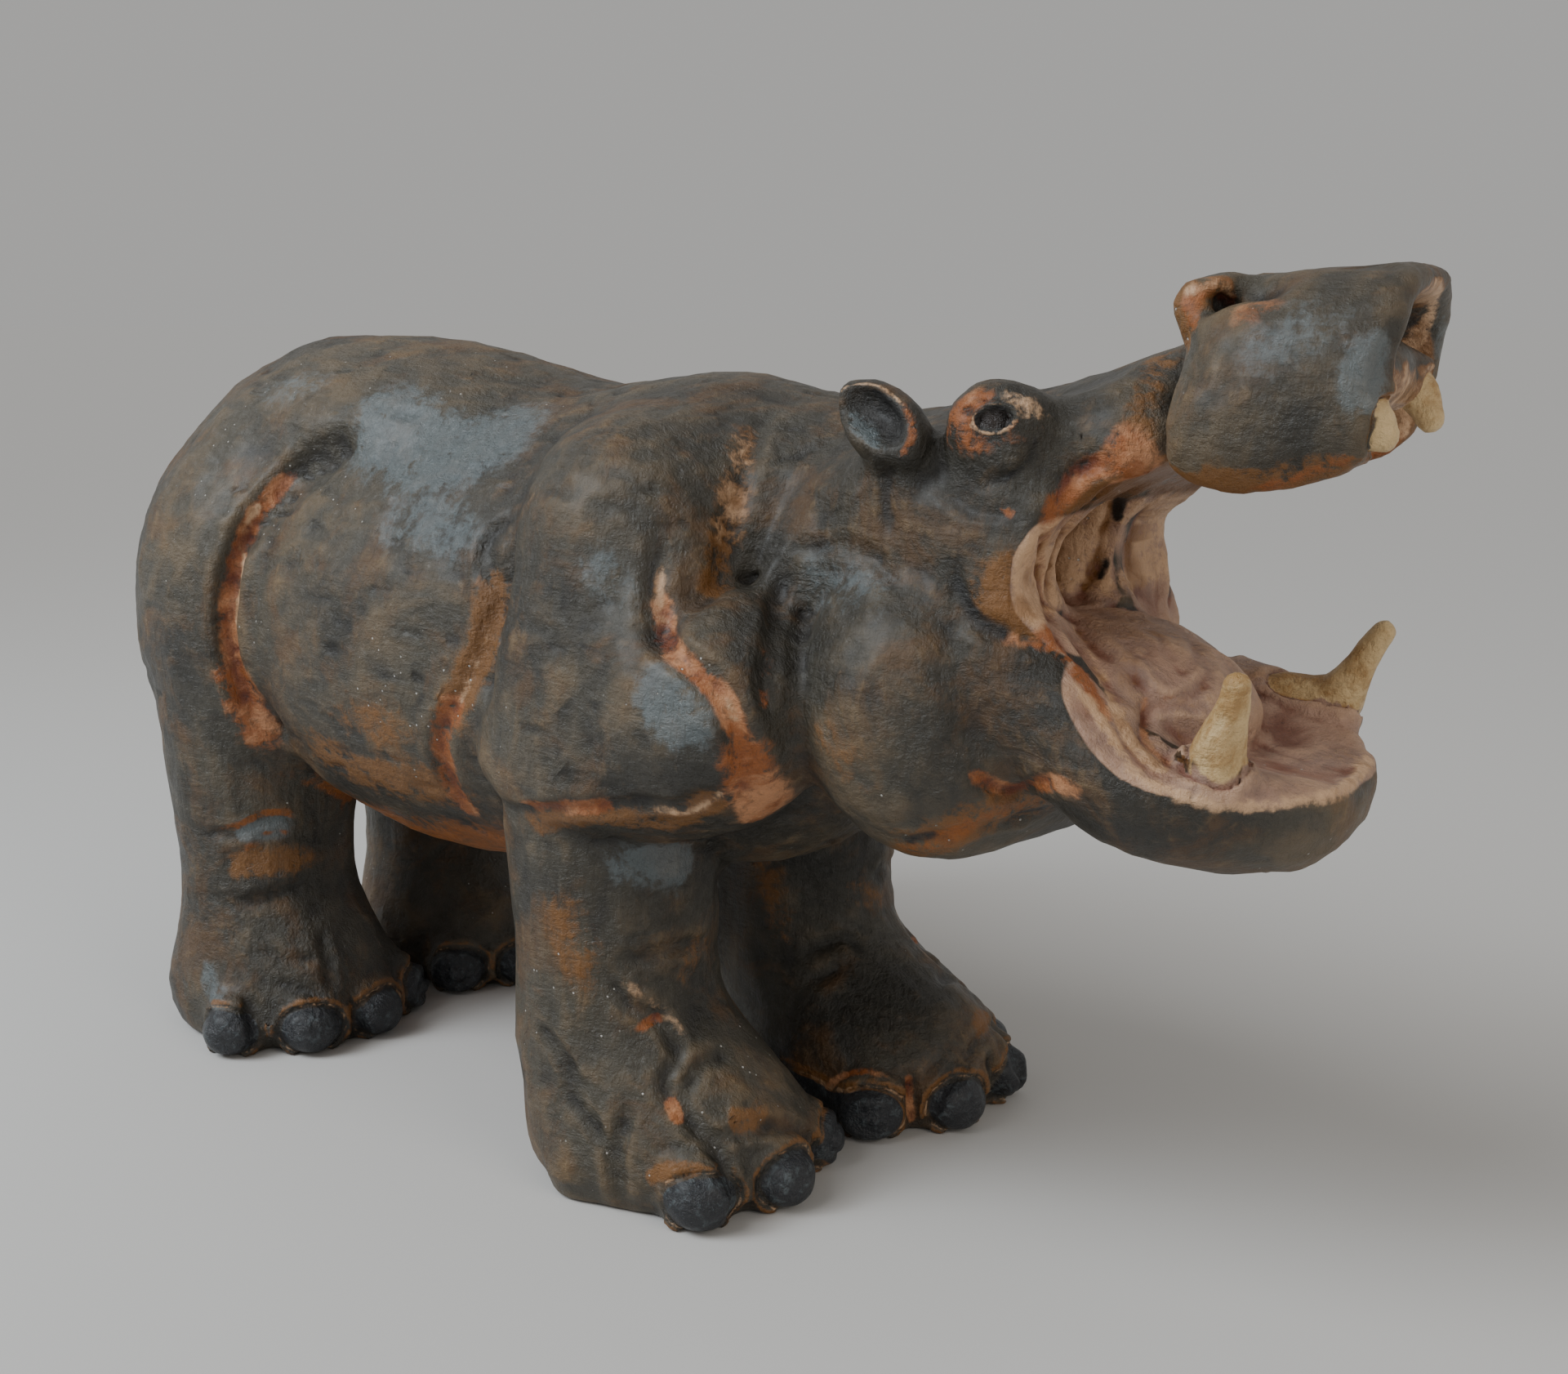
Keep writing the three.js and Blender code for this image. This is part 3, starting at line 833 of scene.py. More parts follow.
@dataclass
class Mouth:
    """Gaping mouth: tongue, cheeks, palate, tusks and small upper teeth."""

    spaces: tuple[Lump, ...] = (
        Lump(placed(206.0, 2.0, 192.0), (20.0, 15.0, 16.0), -10.0),
        Lump(placed(268.0, 0.0, 197.0), (64.0, 110.0, 29.0), 6.0, 8.0),
        Lump(placed(268.0, 0.0, 178.0), (58.0, 110.0, 29.0), -20.0, 8.0),
        Lump(placed(233.0, 47.0, 186.0), (40.0, 34.0, 32.0)),
        Lump(placed(262.0, -44.0, 176.0), (36.0, 22.0, 30.0), -18.0),
        Lump(placed(246.0, 0.0, 172.0), (42.0, 35.0, 24.0), -18.0),
    )
    middle: Point = placed(262.0, 0.0, 188.0)
    palate: Lump = Lump(placed(284.3, 5.2, 233.0), (50.0, 35.0, 26.0), 18.0, 15.0)
    tusks: tuple[tuple[Point, Point, Point], ...] = (
        (placed(259.0, -31.0, 145.0), placed(262.0, -33.0, 155.0), placed(267.5, -37.0, 171.5)),
        (placed(243.0, 40.0, 154.0), placed(256.0, 41.0, 154.0), placed(267.5, 42.0, 174.0)),
    )
    lip_scoops: tuple[Lump, ...] = (
        Lump(placed(307.0, -38.0, 245.0), (12.0, 16.0, 19.0), -12.0, 15.0),
        Lump(placed(298.0, -31.5, 221.0), (8.0, 8.0, 5.0)),
    )
    upper_teeth: tuple[tuple[Point, Point], ...] = (
        (placed(294.0, -30.0, 231.5), placed(295.5, -30.5, 229.0)),
        (placed(283.0, 18.0, 236.0), placed(286.0, 18.0, 230.0)),
    )
    tusk_radii: tuple[float, float, float] = (6.4, 5.9, 3.6)
    tooth_radii: tuple[float, float] = (4.6, 3.5)

    def teeth(self, places: np.ndarray) -> np.ndarray:
        """Distances from the tusks and the small teeth under the muzzle.

        Args:
            places: Places in mm.

        Returns:
            Distances in mm, negative inside.
        """
        thick, middling, thin = self.tusk_radii
        nearest = np.full(len(places), 99.0)
        for root, knee, tip in self.tusks:
            nearest = np.minimum(nearest, limb(places, root, thick, knee, middling))
            nearest = np.minimum(nearest, limb(places, knee, middling, tip, thin))
        for root, tip in self.upper_teeth:
            nearest = np.minimum(nearest, limb(places, root, self.tooth_radii[0], tip, self.tooth_radii[1]))
        return nearest

    def shape(self, clay: Clay, skin: Skin) -> None:
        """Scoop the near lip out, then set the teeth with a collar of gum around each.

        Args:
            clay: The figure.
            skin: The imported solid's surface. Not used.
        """
        for scoop in self.lip_scoops:
            middle = np.array(scoop.centre)
            reach = np.array(scoop.radii) + 4.0
            clay.cut(middle - reach, middle + reach, scoop.distance, 1.5)
        for points in self.tusks + self.upper_teeth:
            low = np.min(points, axis=0) - 9.0
            high = np.max(points, axis=0) + 9.0
            clay.add(low, high, self.teeth, 0.8)
            clay.work(low, high, self.collar)

    def facing(self, coat: Coat, middle: Point) -> np.ndarray:
        """How far the skin faces a place.

        Args:
            coat: The figure's paint.
            middle: The place in mm.

        Returns:
            1 where the skin faces it, 0 where it faces away.
        """
        way = np.array(middle, np.float32) - coat.places
        way /= np.maximum(np.linalg.norm(way, axis=1, keepdims=True), 1e-3)
        return smooth_step(np.einsum("ij,ij->i", way, coat.normals), -0.5, -0.2)

    def collar(self, places: np.ndarray) -> np.ndarray:
        """How the gum rises and dips around a tooth's foot.

        Args:
            places: Places in mm.

        Returns:
            How far the skin sinks in mm.
        """
        away = self.teeth(places)
        return 1.2 * np.exp(-(((away - 1.0) / 0.8) ** 2)) - 0.8 * np.exp(-(((away - 3.4) / 1.4) ** 2))

    def paint(self, coat: Coat) -> None:
        """Paint floor, cheeks and palate, and the teeth over them, with a ring of painted shade at each tooth's
        foot.

        Args:
            coat: The figure's paint.
        """
        places = coat.places
        ahead = places[:, 0] - CENTRING[0]
        height = places[:, 2]
        gap = np.min([space.distance(places) for space in self.spaces], axis=0)
        inside = (1.0 - smooth_step(gap, 1.0, 4.0)) * smooth_step(ahead, 180.0, 186.0)
        inside *= self.facing(coat, self.middle)
        roof = 1.0 - smooth_step(self.palate.distance(places), 0.5, 4.0)
        roof *= self.facing(coat, self.palate.centre)
        low = 1.0 - smooth_step(height, 176.0, 184.0)
        upper = smooth_step(height, 203.0, 211.0)
        cheek = inside * (1.0 - low) * (1.0 - upper)
        coat.brush(Paint.FLESH, inside * (1.0 - upper))
        coat.brush(Paint.CREAM, 0.72 * cheek)
        coat.brush(Paint.CREAM, 0.3 * inside * low)
        coat.brush(Paint.OCHRE, np.maximum(0.9 * inside * upper, roof))
        coat.brush(Paint.CREAM, 0.45 * roof)
        teeth = self.teeth(places)
        coat.brush(Paint.IVORY, 1.0 - smooth_step(teeth, 0.5, 1.3))
        gum = np.exp(-(((teeth - 1.8) / 1.0) ** 2))
        coat.brush(Paint.OCHRE, 0.75 * gum)
        # Painted shade in a dark ring where each tooth meets the gum
        coat.brush(Paint.PAINTED_SHADE, 0.35 * np.exp(-(((teeth - 1.2) / 0.5) ** 2)))


@dataclass
class Foot:
    """One foot: its middle on the floor and the turn of each nail from straight ahead."""

    middle: Point
    outer: float
    nails: tuple[float, ...]


@dataclass
class Feet:
    """Broad feet with dark nails set in swollen toes."""

    feet: tuple[Foot, ...] = (
        Foot(placed(90.0, -39.5, 0.0), -1.0, (-42.0, -2.0, 37.0)),
        Foot(placed(98.0, 47.5, 0.0), 1.0, (-54.0, -14.0, 28.0, 66.0)),
        Foot(placed(-107.0, -42.5, 0.0), -1.0, (-46.0, -11.0, 25.0, 64.0)),
        Foot(placed(-107.0, 42.5, 0.0), 1.0, (-46.0, -11.0, 25.0, 64.0)),
    )
    reach: float = 50.0
    height: float = 9.0
    nail_width: float = 10.5
    nail_height: float = 8.0
    frames: list[tuple[np.ndarray, np.ndarray]] = field(default_factory=list)

    def shape(self, clay: Clay, skin: Skin) -> None:
        """Raise each nail out of its toe, with a groove around it.

        Args:
            clay: The figure.
            skin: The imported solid's surface.
        """
        for foot in self.feet:
            for turn in foot.nails:
                angle = math.radians(turn)
                out = np.array([math.cos(angle), foot.outer * math.sin(angle), 0.0])
                start = np.array(foot.middle) + [0.0, 0.0, self.height] + out * self.reach * 2.0
                place = skin.tree.ray_cast(Vector(start), Vector(-out))[0]
                across = np.cross([0.0, 0.0, 1.0], out)
                self.frames.append((np.array(place), np.stack([across, [0.0, 0.0, 1.0], out], axis=1)))
        for place, axes in self.frames:
            clay.work(place - 26.0, place + 26.0, lambda p, f=(place, axes): self.nail(p, f))

    def oval(self, places: np.ndarray, frame_of_nail: tuple[np.ndarray, np.ndarray]) -> np.ndarray:
        """How far out of a nail's outline a place lies, 1 at its edge.

        Args:
            places: Places in mm.
            frame_of_nail: The nail's middle and axes.

        Returns:
            Shares of the nail's size.
        """
        local = (places - frame_of_nail[0]) @ frame_of_nail[1]
        share = np.hypot(local[:, 0] / self.nail_width, local[:, 1] / self.nail_height)
        return np.where(local[:, 2] < -9.0, 9.0, share)

    def nail(self, places: np.ndarray, frame_of_nail: tuple[np.ndarray, np.ndarray]) -> np.ndarray:
        """How a nail and its cuticle move the skin.

        Args:
            places: Places in mm.
            frame_of_nail: The nail's middle and axes.

        Returns:
            How far the skin sinks in mm.
        """
        share = self.oval(places, frame_of_nail)
        dome = 0.7 * (1.0 - smooth_step(share, 0.6, 1.0))
        groove = 1.2 * np.exp(-(((share - 1.06) / 0.1) ** 2))
        fold = 0.7 * np.exp(-(((share - 1.35) / 0.2) ** 2))
        return groove - dome - fold

    def paint(self, coat: Coat) -> None:
        """Paint the nails dark and pick out their cuticles.

        Args:
            coat: The figure's paint.
        """
        for frame_of_nail in self.frames:
            share = self.oval(coat.places, frame_of_nail)
            coat.brush(Paint.NAIL, 1.0 - smooth_step(share, 0.92, 1.06))
            line = np.exp(-(((share - 1.12) / 0.07) ** 2))
            coat.brush(Paint.CREAM, 0.48 * line)
            coat.brush(Paint.OCHRE, 0.6 * np.exp(-(((share - 1.3) / 0.14) ** 2)))


@dataclass
class ToolMarks:
    """Short dents of the modelling tool over back, flanks and neck."""

    count: int = 420
    low: Point = (-215.0, -85.0, 120.0)
    high: Point = (90.0, 85.0, 228.0)
    seed: int = 11

    def shape(self, clay: Clay, skin: Skin) -> None:
        """Dent the clay at scattered places.

        Args:
            clay: The figure.
            skin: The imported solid's surface.
        """
        draw = np.random.default_rng(self.seed)
        for _ in range(self.count):
            place, normal = skin.settle(draw.uniform(self.low, self.high))
            along = np.cross(normal, [0.0, draw.normal(0.0, 0.5), 1.0])
            along /= np.linalg.norm(along)
            half = along * draw.uniform(2.5, 8.0)
            sag = normal * draw.uniform(-0.8, 0.2)
            path = np.array([place - half, place + sag, place + half])
            clay.press(path, Mark.SCORE, draw.uniform(0.9, 1.9), draw.uniform(0.3, 1.0))


class NodeSheet:
    """A node tree that is written as Python calls."""

    def __init__(self, tree: bpy.types.NodeTree) -> None:
        """Start with an empty tree.

        Args:
            tree: The tree to fill.
        """
        self.tree = tree
        tree.nodes.clear()

    def node(
        self, kind: str, settings: dict[str, object], sockets: dict[str | int, object]
    ) -> bpy.types.Node:
        """Add a node.

        Args:
            kind: The node's type.
            settings: The node's own settings, set first.
            sockets: Values, wires or sockets for its inputs, by name or number.

        Returns:
            The new node.
        """
        node = self.tree.nodes.new(kind)
        for name, value in settings.items():
            setattr(node, name, value)
        for name, value in sockets.items():
            socket = node.inputs[name]
            if isinstance(value, Wire):
                self.tree.links.new(value.socket, socket)
            elif isinstance(value, bpy.types.NodeSocket):
                self.tree.links.new(value, socket)
            else:
                socket.default_value = value
        return node

    def math(self, operation: str, first: object, second: object) -> "Wire":
        """Add a Math node.

        Args:
            operation: What it works out.
            first: First value or wire.
            second: Second value or wire.

        Returns:
            The result.
        """
        node = self.node("ShaderNodeMath", {"operation": operation}, {0: first, 1: second})
        return Wire(self, node.outputs[0])


class Wire:
    """A number in a node tree that takes part in Python sums."""

    def __init__(self, sheet: NodeSheet, socket: bpy.types.NodeSocket) -> None:
        """Wrap a socket.

        Args:
            sheet: The tree that the socket is in.
            socket: The socket.
        """
        self.sheet = sheet
        self.socket = socket

    def __add__(self, other: object) -> "Wire":
        """Sum of two values."""
        return self.sheet.math("ADD", self, other)

    __radd__ = __add__

    def __sub__(self, other: object) -> "Wire":
        """Difference of two values."""
        return self.sheet.math("SUBTRACT", self, other)

    def __rsub__(self, other: object) -> "Wire":
        """Difference of two values, the other way round."""
        return self.sheet.math("SUBTRACT", other, self)

    def __mul__(self, other: object) -> "Wire":
        """Product of two values."""
        return self.sheet.math("MULTIPLY", self, other)

    __rmul__ = __mul__

    def at_least(self, other: object) -> "Wire":
        """Larger of two values."""
        return self.sheet.math("MAXIMUM", self, other)

    def eased(self, start: float, end: float) -> "Wire":
        """Ease from 0 at start to 1 at end.

        Args:
            start: Where the result is 0.
            end: Where the result is 1.

        Returns:
            The eased value.
        """
        settings = {"interpolation_type": "SMOOTHSTEP", "clamp": True}
        node = self.sheet.node("ShaderNodeMapRange", settings, {0: self, 1: start, 2: end, 3: 0.0, 4: 1.0})
        return Wire(self.sheet, node.outputs[0])


@dataclass(frozen=True)
class PaintedClay:
    """Dark paint over fired clay, rubbed with ochre, glowing in its folds, with painted shade in its hollows,
    creases and holes and blue-grey painted highlights.
    """

    charcoal: Colour = (0.020, 0.018, 0.013)
    olive: Colour = (0.060, 0.052, 0.036)
    umber: Colour = (0.090, 0.046, 0.016)
    rubbed: Colour = (0.190, 0.128, 0.064)
    # Blue-grey of the painted highlights, also flecked into the nails
    slate_and_highlight: Colour = (0.125, 0.158, 0.172)
    ochre: Colour = (0.200, 0.082, 0.015)
    amber: Colour = (0.300, 0.088, 0.006)
    ember: Colour = (0.300, 0.086, 0.014)
    # Dark red of the painted shade in the hollows of the mouth and of the orange folds
    rust_red_shade: Colour = (0.130, 0.024, 0.006)
    peach: Colour = (0.560, 0.270, 0.130)
    cream: Colour = (0.620, 0.400, 0.240)
    flesh: Colour = (0.390, 0.240, 0.170)
    mauve: Colour = (0.270, 0.170, 0.130)
    ivory: Colour = (0.620, 0.450, 0.230)
    # Brown of real stains on the teeth, and of their painted shade in the hollows
    stain_and_shade: Colour = (0.300, 0.145, 0.030)
    nail: Colour = (0.014, 0.016, 0.020)
    # Near black of the painted shade
    painted_shade: Colour = (0.009, 0.008, 0.007)
    eye: Colour = (0.012, 0.006, 0.004)
    chip: Colour = (0.700, 0.680, 0.640)
    roughness: float = 0.46
    coat_weight: float = 0.12
    coat_roughness: float = 0.28
    bump_strength: float = 0.9
    bump_depth: float = 2.0

    def make(self) -> bpy.types.Material:
        """Build the layered material.

        Returns:
            The material.
        """
        material = bpy.data.materials.new(SLOT)
        material.use_nodes = True
        sheet = ClaySheet(material.node_tree)
        mottle = sheet.noise(14.0, 7.0, 0.66)
        cloud = sheet.noise(42.0, 6.0, 0.66)
        grain = sheet.noise(330.0, 5.0, 0.7)
        brushed = sheet.noise(1.0, 5.0, 0.65, (290.0, 290.0, 75.0))
        swept = sheet.noise(1.0, 5.0, 0.65, (80.0, 260.0, 320.0))
        streaks = (brushed + swept) * 0.5
        ragged = (cloud + grain * 0.6 + streaks * 0.8) * 0.72 - 0.864
        layers = {paint: sheet.layer(paint.value) for paint in Paint}
        # Depth in the hollows, where painted shade darkens the paint
        hollow = sheet.layer("hollow")
        proud = sheet.layer("proud")

        colour = sheet.mix(mottle.eased(0.36, 0.64), self.charcoal, self.olive)
        colour = sheet.mix(cloud.eased(0.47, 0.66) * 0.9, colour, self.umber)
        rub = streaks.eased(0.5, 0.66) * cloud.eased(0.42, 0.62) * 0.55
        rub = rub + proud * mottle.eased(0.4, 0.6) * 0.45
        colour = sheet.mix(rub, colour, self.rubbed)
        # Painted shade: the paint darkens towards near black in the hollows
        colour = sheet.mix(hollow * 0.8, colour, self.painted_shade)
        # Blue-grey painted highlights
        slate_and_highlight = self.torn(layers[Paint.SLATE_HIGHLIGHT], ragged)
        colour = sheet.mix(slate_and_highlight * 0.65, colour, self.slate_and_highlight)
        colour = sheet.mix(self.torn(layers[Paint.OCHRE], ragged) * 0.85, colour, self.ochre)
        amber = sheet.mix(streaks.eased(0.46, 0.62) * 0.6, self.amber, self.umber)
        colour = sheet.mix(self.torn(layers[Paint.AMBER], ragged) * 0.95, colour, amber)
        flesh = sheet.mix(cloud.eased(0.42, 0.6), self.flesh, self.mauve)
        # Painted shade: the mouth's flesh turns dark red in its hollows
        flesh = sheet.mix(hollow * 0.75, flesh, self.rust_red_shade)
        flesh = sheet.mix(proud * 0.35, flesh, self.cream)
        colour = sheet.mix(layers[Paint.FLESH].eased(0.35, 0.65), colour, flesh)
        ember = sheet.mix(cloud.eased(0.48, 0.62) * 0.8, self.ember, self.peach)
        ember = sheet.mix(grain.eased(0.52, 0.66) * 0.5, ember, self.umber)
        # Painted shade: the orange fold paint turns dark red in the hollows
        ember = sheet.mix(hollow, ember, self.rust_red_shade)
        colour = sheet.mix(self.torn(layers[Paint.EMBER], ragged) * 0.95, colour, ember)
        # Cream turns ochre in the hollows as painted shade, and in patches of cloud noise as real paint
        cream = sheet.mix(hollow.at_least(cloud.eased(0.52, 0.66) * 0.6), self.cream, self.ochre)
        colour = sheet.mix(self.torn(layers[Paint.CREAM], ragged) * 0.95, colour, cream)
        # Ivory is stained in patches of cloud noise, and darkened in the hollows as painted shade
        ivory = sheet.mix((cloud.eased(0.48, 0.62) * 0.75).at_least(hollow), self.ivory, self.stain_and_shade)
        colour = sheet.mix(layers[Paint.IVORY].eased(0.3, 0.7), colour, ivory)
        # Painted shade: near black in creases, slits, holes, ear cups and around eyes and teeth
        colour = sheet.mix(self.torn(layers[Paint.PAINTED_SHADE], ragged * 0.5), colour, self.painted_shade)
        nail = sheet.mix(grain.eased(0.5, 0.7) * 0.5, self.nail, self.slate_and_highlight)
        colour = sheet.mix(self.torn(layers[Paint.NAIL], ragged * 0.4), colour, nail)
        colour = sheet.mix(layers[Paint.EYE].eased(0.4, 0.6), colour, self.eye)
        flecks = sheet.flecks(230.0, 0.1) * mottle.eased(0.54, 0.6)
        colour = sheet.mix(flecks * 0.8 * (1.0 - layers[Paint.EYE]), colour, self.chip)

        gloss = slate_and_highlight.at_least(layers[Paint.NAIL] * 0.8)
        dry = layers[Paint.FLESH].at_least(layers[Paint.EMBER]) * 0.12
        rough = self.roughness + (grain - 0.5) * 0.5 + (cloud - 0.5) * 0.5 + rub * 0.15
        rough = rough + dry - gloss * 0.16 - layers[Paint.EYE] * 0.2
        height = grain * 0.7 + streaks * 1.3 + cloud * 0.9 - flecks * 0.5
        sockets = {"Strength": self.bump_strength, "Distance": self.bump_depth * MM, "Height": height}
        bump = sheet.node("ShaderNodeBump", {}, sockets)
        sockets = {
            "Base Color": colour,
            "Roughness": rough,
            "Normal": bump.outputs[0],
            "Coat Weight": self.coat_weight,
            "Coat Roughness": self.coat_roughness,
        }
        shader = sheet.node("ShaderNodeBsdfPrincipled", {}, sockets)
        sheet.node("ShaderNodeOutputMaterial", {}, {"Surface": shader.outputs[0]})
        return material

    def torn(self, layer: Wire, ragged: Wire) -> Wire:
        """Give a layer of paint a ragged, brushed edge.

        Args:
            layer: Strength of the paint.
            ragged: Noise around 0.

        Returns:
            Strength with a broken edge.
        """
        return (layer * (1.0 + ragged * 4.0)).eased(0.28, 0.68)


class ClaySheet(NodeSheet):
    """Shader tree of the painted clay."""

    def place(self, scale: Colour) -> bpy.types.NodeSocket:
        """Object coordinates, stretched.

        Args:
            scale: Factor along each axis.

        Returns:
            The coordinates' socket.
        """
        coordinates = self.node("ShaderNodeTexCoord", {}, {})
        sockets = {"Vector": coordinates.outputs["Object"], "Scale": scale}
        return self.node("ShaderNodeMapping", {}, sockets).outputs[0]

    def noise(self, scale: float, detail: float, roughness: float, stretch: Colour = (1.0, 1.0, 1.0)) -> Wire:
        """Cloudy noise.

        Args:
            scale: Waves per metre.
            detail: Finer layers.
            roughness: Weight of the finer layers.
            stretch: Factor along each axis.

        Returns:
            Noise from 0 to 1.
        """
        sockets = {
            "Vector": self.place(stretch), "Scale": scale, "Detail": detail,
            "Roughness": roughness, "Distortion": 0.4,
        }
        return Wire(self, self.node("ShaderNodeTexNoise", {}, sockets).outputs[0])

    def flecks(self, scale: float, size: float) -> Wire:
        """Tiny scattered chips.

        Args:
            scale: Chips per metre.
            size: Share of the spacing that a chip takes.

        Returns:
            1 on a chip.
        """
        sockets = {"Vector": self.place((1.0, 1.0, 1.0)), "Scale": scale}
        distance = Wire(self, self.node("ShaderNodeTexVoronoi", {}, sockets).outputs["Distance"])
        return 1.0 - distance.eased(size * 0.6, size)

    def layer(self, name: str) -> Wire:
        """A painted point attribute.

        Args:
            name: The attribute's name.

        Returns:
            Its value.
        """
        node = self.node("ShaderNodeAttribute", {"attribute_name": name}, {})
        return Wire(self, node.outputs["Fac"])

    def mix(self, factor: Wire, first: object, second: object) -> bpy.types.NodeSocket:
        """Mix two colours.

        Args:
            factor: Share of the second colour.
            first: First colour.
            second: Second colour.

        Returns:
            The mixed colour's socket.
        """
        first, second = (c if isinstance(c, bpy.types.NodeSocket) else (*c, 1.0) for c in (first, second))
        settings = {"data_type": "RGBA", "clamp_factor": True}
        return self.node("ShaderNodeMix", settings, {0: factor, 6: first, 7: second}).outputs[2]


@dataclass
class ClaySkin:
    """Hand-pressed unevenness of the whole surface, as a Geometry Nodes rule."""

    lump_scale: float = 45.0
    lump_height: float = 1.8
    dab_scale: float = 140.0
    dab_height: float = 0.8
    sole_height: float = 4.0

    def tree(self, material: bpy.types.Material) -> bpy.types.NodeTree:
        """Build the rule.

        Args:
            material: Finish set on the result.

        Returns:
            The node tree.
        """
        tree = bpy.data.node_groups.new("clay_skin", "GeometryNodeTree")
        sheet = NodeSheet(tree)
        tree.interface.new_socket("Geometry", in_out="INPUT", socket_type="NodeSocketGeometry")
        for name in ("Lump Scale", "Lump Height", "Dab Scale", "Dab Height", "Sole Height"):
            tree.interface.new_socket(name, in_out="INPUT", socket_type="NodeSocketFloat")
        tree.interface.new_socket("Geometry", in_out="OUTPUT", socket_type="NodeSocketGeometry")
        entry = sheet.node("NodeGroupInput", {}, {}).outputs
        position = sheet.node("GeometryNodeInputPosition", {}, {}).outputs[0]
        height = Wire(sheet, sheet.node("ShaderNodeSeparateXYZ", {}, {0: position}).outputs["Z"])
        sockets = {"Vector": position, "Scale": entry["Lump Scale"], "Detail": 2.0, "Roughness": 0.5}
        lumps = Wire(sheet, sheet.node("ShaderNodeTexNoise", {}, sockets).outputs[0])
        sockets = {"Vector": position, "Scale": entry["Dab Scale"], "Detail": 3.0, "Roughness": 0.55}
        dabs = Wire(sheet, sheet.node("ShaderNodeTexNoise", {}, sockets).outputs[0])
        fine = sheet.node("GeometryNodeInputNamedAttribute", {"data_type": "FLOAT"}, {"Name": "fine"})
        kept = 1.0 - Wire(sheet, fine.outputs[0]) * 0.75
        sole = sheet.math("DIVIDE", height, entry["Sole Height"]).eased(0.1, 1.0)
        push = (lumps - 0.5) * Wire(sheet, entry["Lump Height"]) * 2.0
        push = push + (dabs - 0.5) * Wire(sheet, entry["Dab Height"]) * 2.0
        normal = sheet.node("GeometryNodeInputNormal", {}, {}).outputs[0]
        offset = sheet.node(
            "ShaderNodeVectorMath", {"operation": "SCALE"}, {0: normal, "Scale": push * kept * sole}
        )
        moved = sheet.node(
            "GeometryNodeSetPosition", {}, {"Geometry": entry["Geometry"], "Offset": offset.outputs[0]}
        )
        whole = sheet.node("GeometryNodeRealizeInstances", {}, {"Geometry": moved.outputs[0]})
        dressed = sheet.node(
            "GeometryNodeSetMaterial", {}, {"Geometry": whole.outputs[0], "Material": material}
        )
        sheet.node("NodeGroupOutput", {}, {0: dressed.outputs[0]})
        return tree

    def press(self, piece: bpy.types.Object, material: bpy.types.Material) -> None:
        """Apply the rule to a piece.

        Args:
            piece: The figure.
            material: Its finish.
        """
        tree = self.tree(material)
        modifier = piece.modifiers.new("clay_skin", "NODES")
        modifier.node_group = tree
        sizes = {
            "Lump Scale": self.lump_scale,
            "Lump Height": self.lump_height * MM,
            "Dab Scale": self.dab_scale,
            "Dab Height": self.dab_height * MM,
            "Sole Height": self.sole_height * MM,
        }
        for item in tree.interface.items_tree:
            if item.in_out == "INPUT" and item.name in sizes:
                modifier[item.identifier] = sizes[item.name]
        settle_modifiers(piece)


def settle_modifiers(piece: bpy.types.Object) -> None:
    """Turn a piece's modifiers into plain mesh.

    Args:
        piece: The piece.
    """
    graph = bpy.context.evaluated_depsgraph_get()
    settled = bpy.data.meshes.new_from_object(piece.evaluated_get(graph))
    piece.modifiers.clear()
    spare = piece.data
    piece.data = settled
    bpy.data.meshes.remove(spare)


@dataclass
class Hippo:
    """The whole figure, in one piece."""

    viewpoint: Viewpoint
    voxel: float = 1.0
    band: float = 7.0
    triangles: int = 188_000

    def build(self) -> bpy.types.Object:
        """Model and paint the figure.

        Returns:
            The finished piece.
        """
        skin = Skin(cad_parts[NODE].data, self.viewpoint)
        clay = Clay(skin, self.voxel, self.band)
        clay.soften(1, 3)
        parts = [Folds(lines=ALL_LINES), Mouth(), Ears(), Eyes(), Feet()]
        for part in (ToolMarks(), *parts):
            part.shape(clay, skin)
            LOG.info("worked %s", type(part).__name__)
        piece = bpy.data.objects.new("hippo_figurine", clay.mesh("hippo_figurine"))
        bpy.context.scene.collection.objects.link(piece)
        self.thin(piece)
        self.keep_fine(piece, parts)
        ClaySkin().press(piece, PaintedClay().make())
        coat = Coat(piece.data)
        for part in parts:
            part.paint(coat)
        BroadPaint().paint(coat)
        coat.store()
        piece.data.polygons.foreach_set("use_smooth", np.ones(len(piece.data.polygons), bool))
        piece.data.update()
        return piece

    def thin(self, piece: bpy.types.Object) -> None:
        """Thin the mesh where it is plain.

        Args:
            piece: The figure.
        """
        count = sum(len(p.vertices) - 2 for p in piece.data.polygons)
        thin = piece.modifiers.new("thin", "DECIMATE")
        thin.ratio = self.triangles / count
        thin.use_collapse_triangulate = True
        settle_modifiers(piece)
        LOG.info("thinned %d triangles to %d", count, len(piece.data.polygons))

    def keep_fine(self, piece: bpy.types.Object, parts: Sequence[object]) -> None:
        """Note where fine work is kept from being roughened.

        Args:
            piece: The figure.
            parts: The figure's parts.
        """
        coat = Coat(piece.data)
        for part in parts:
            if isinstance(part, (Eyes, Feet)):
                part.paint(coat)
        fine = np.maximum.reduce([coat.layers[p] for p in (Paint.EYE, Paint.CREAM, Paint.NAIL)])
        data = piece.data.attributes.new("fine", "FLOAT", "POINT").data
        data.foreach_set("value", np.clip(fine, 0.0, 1.0).astype(np.float32))


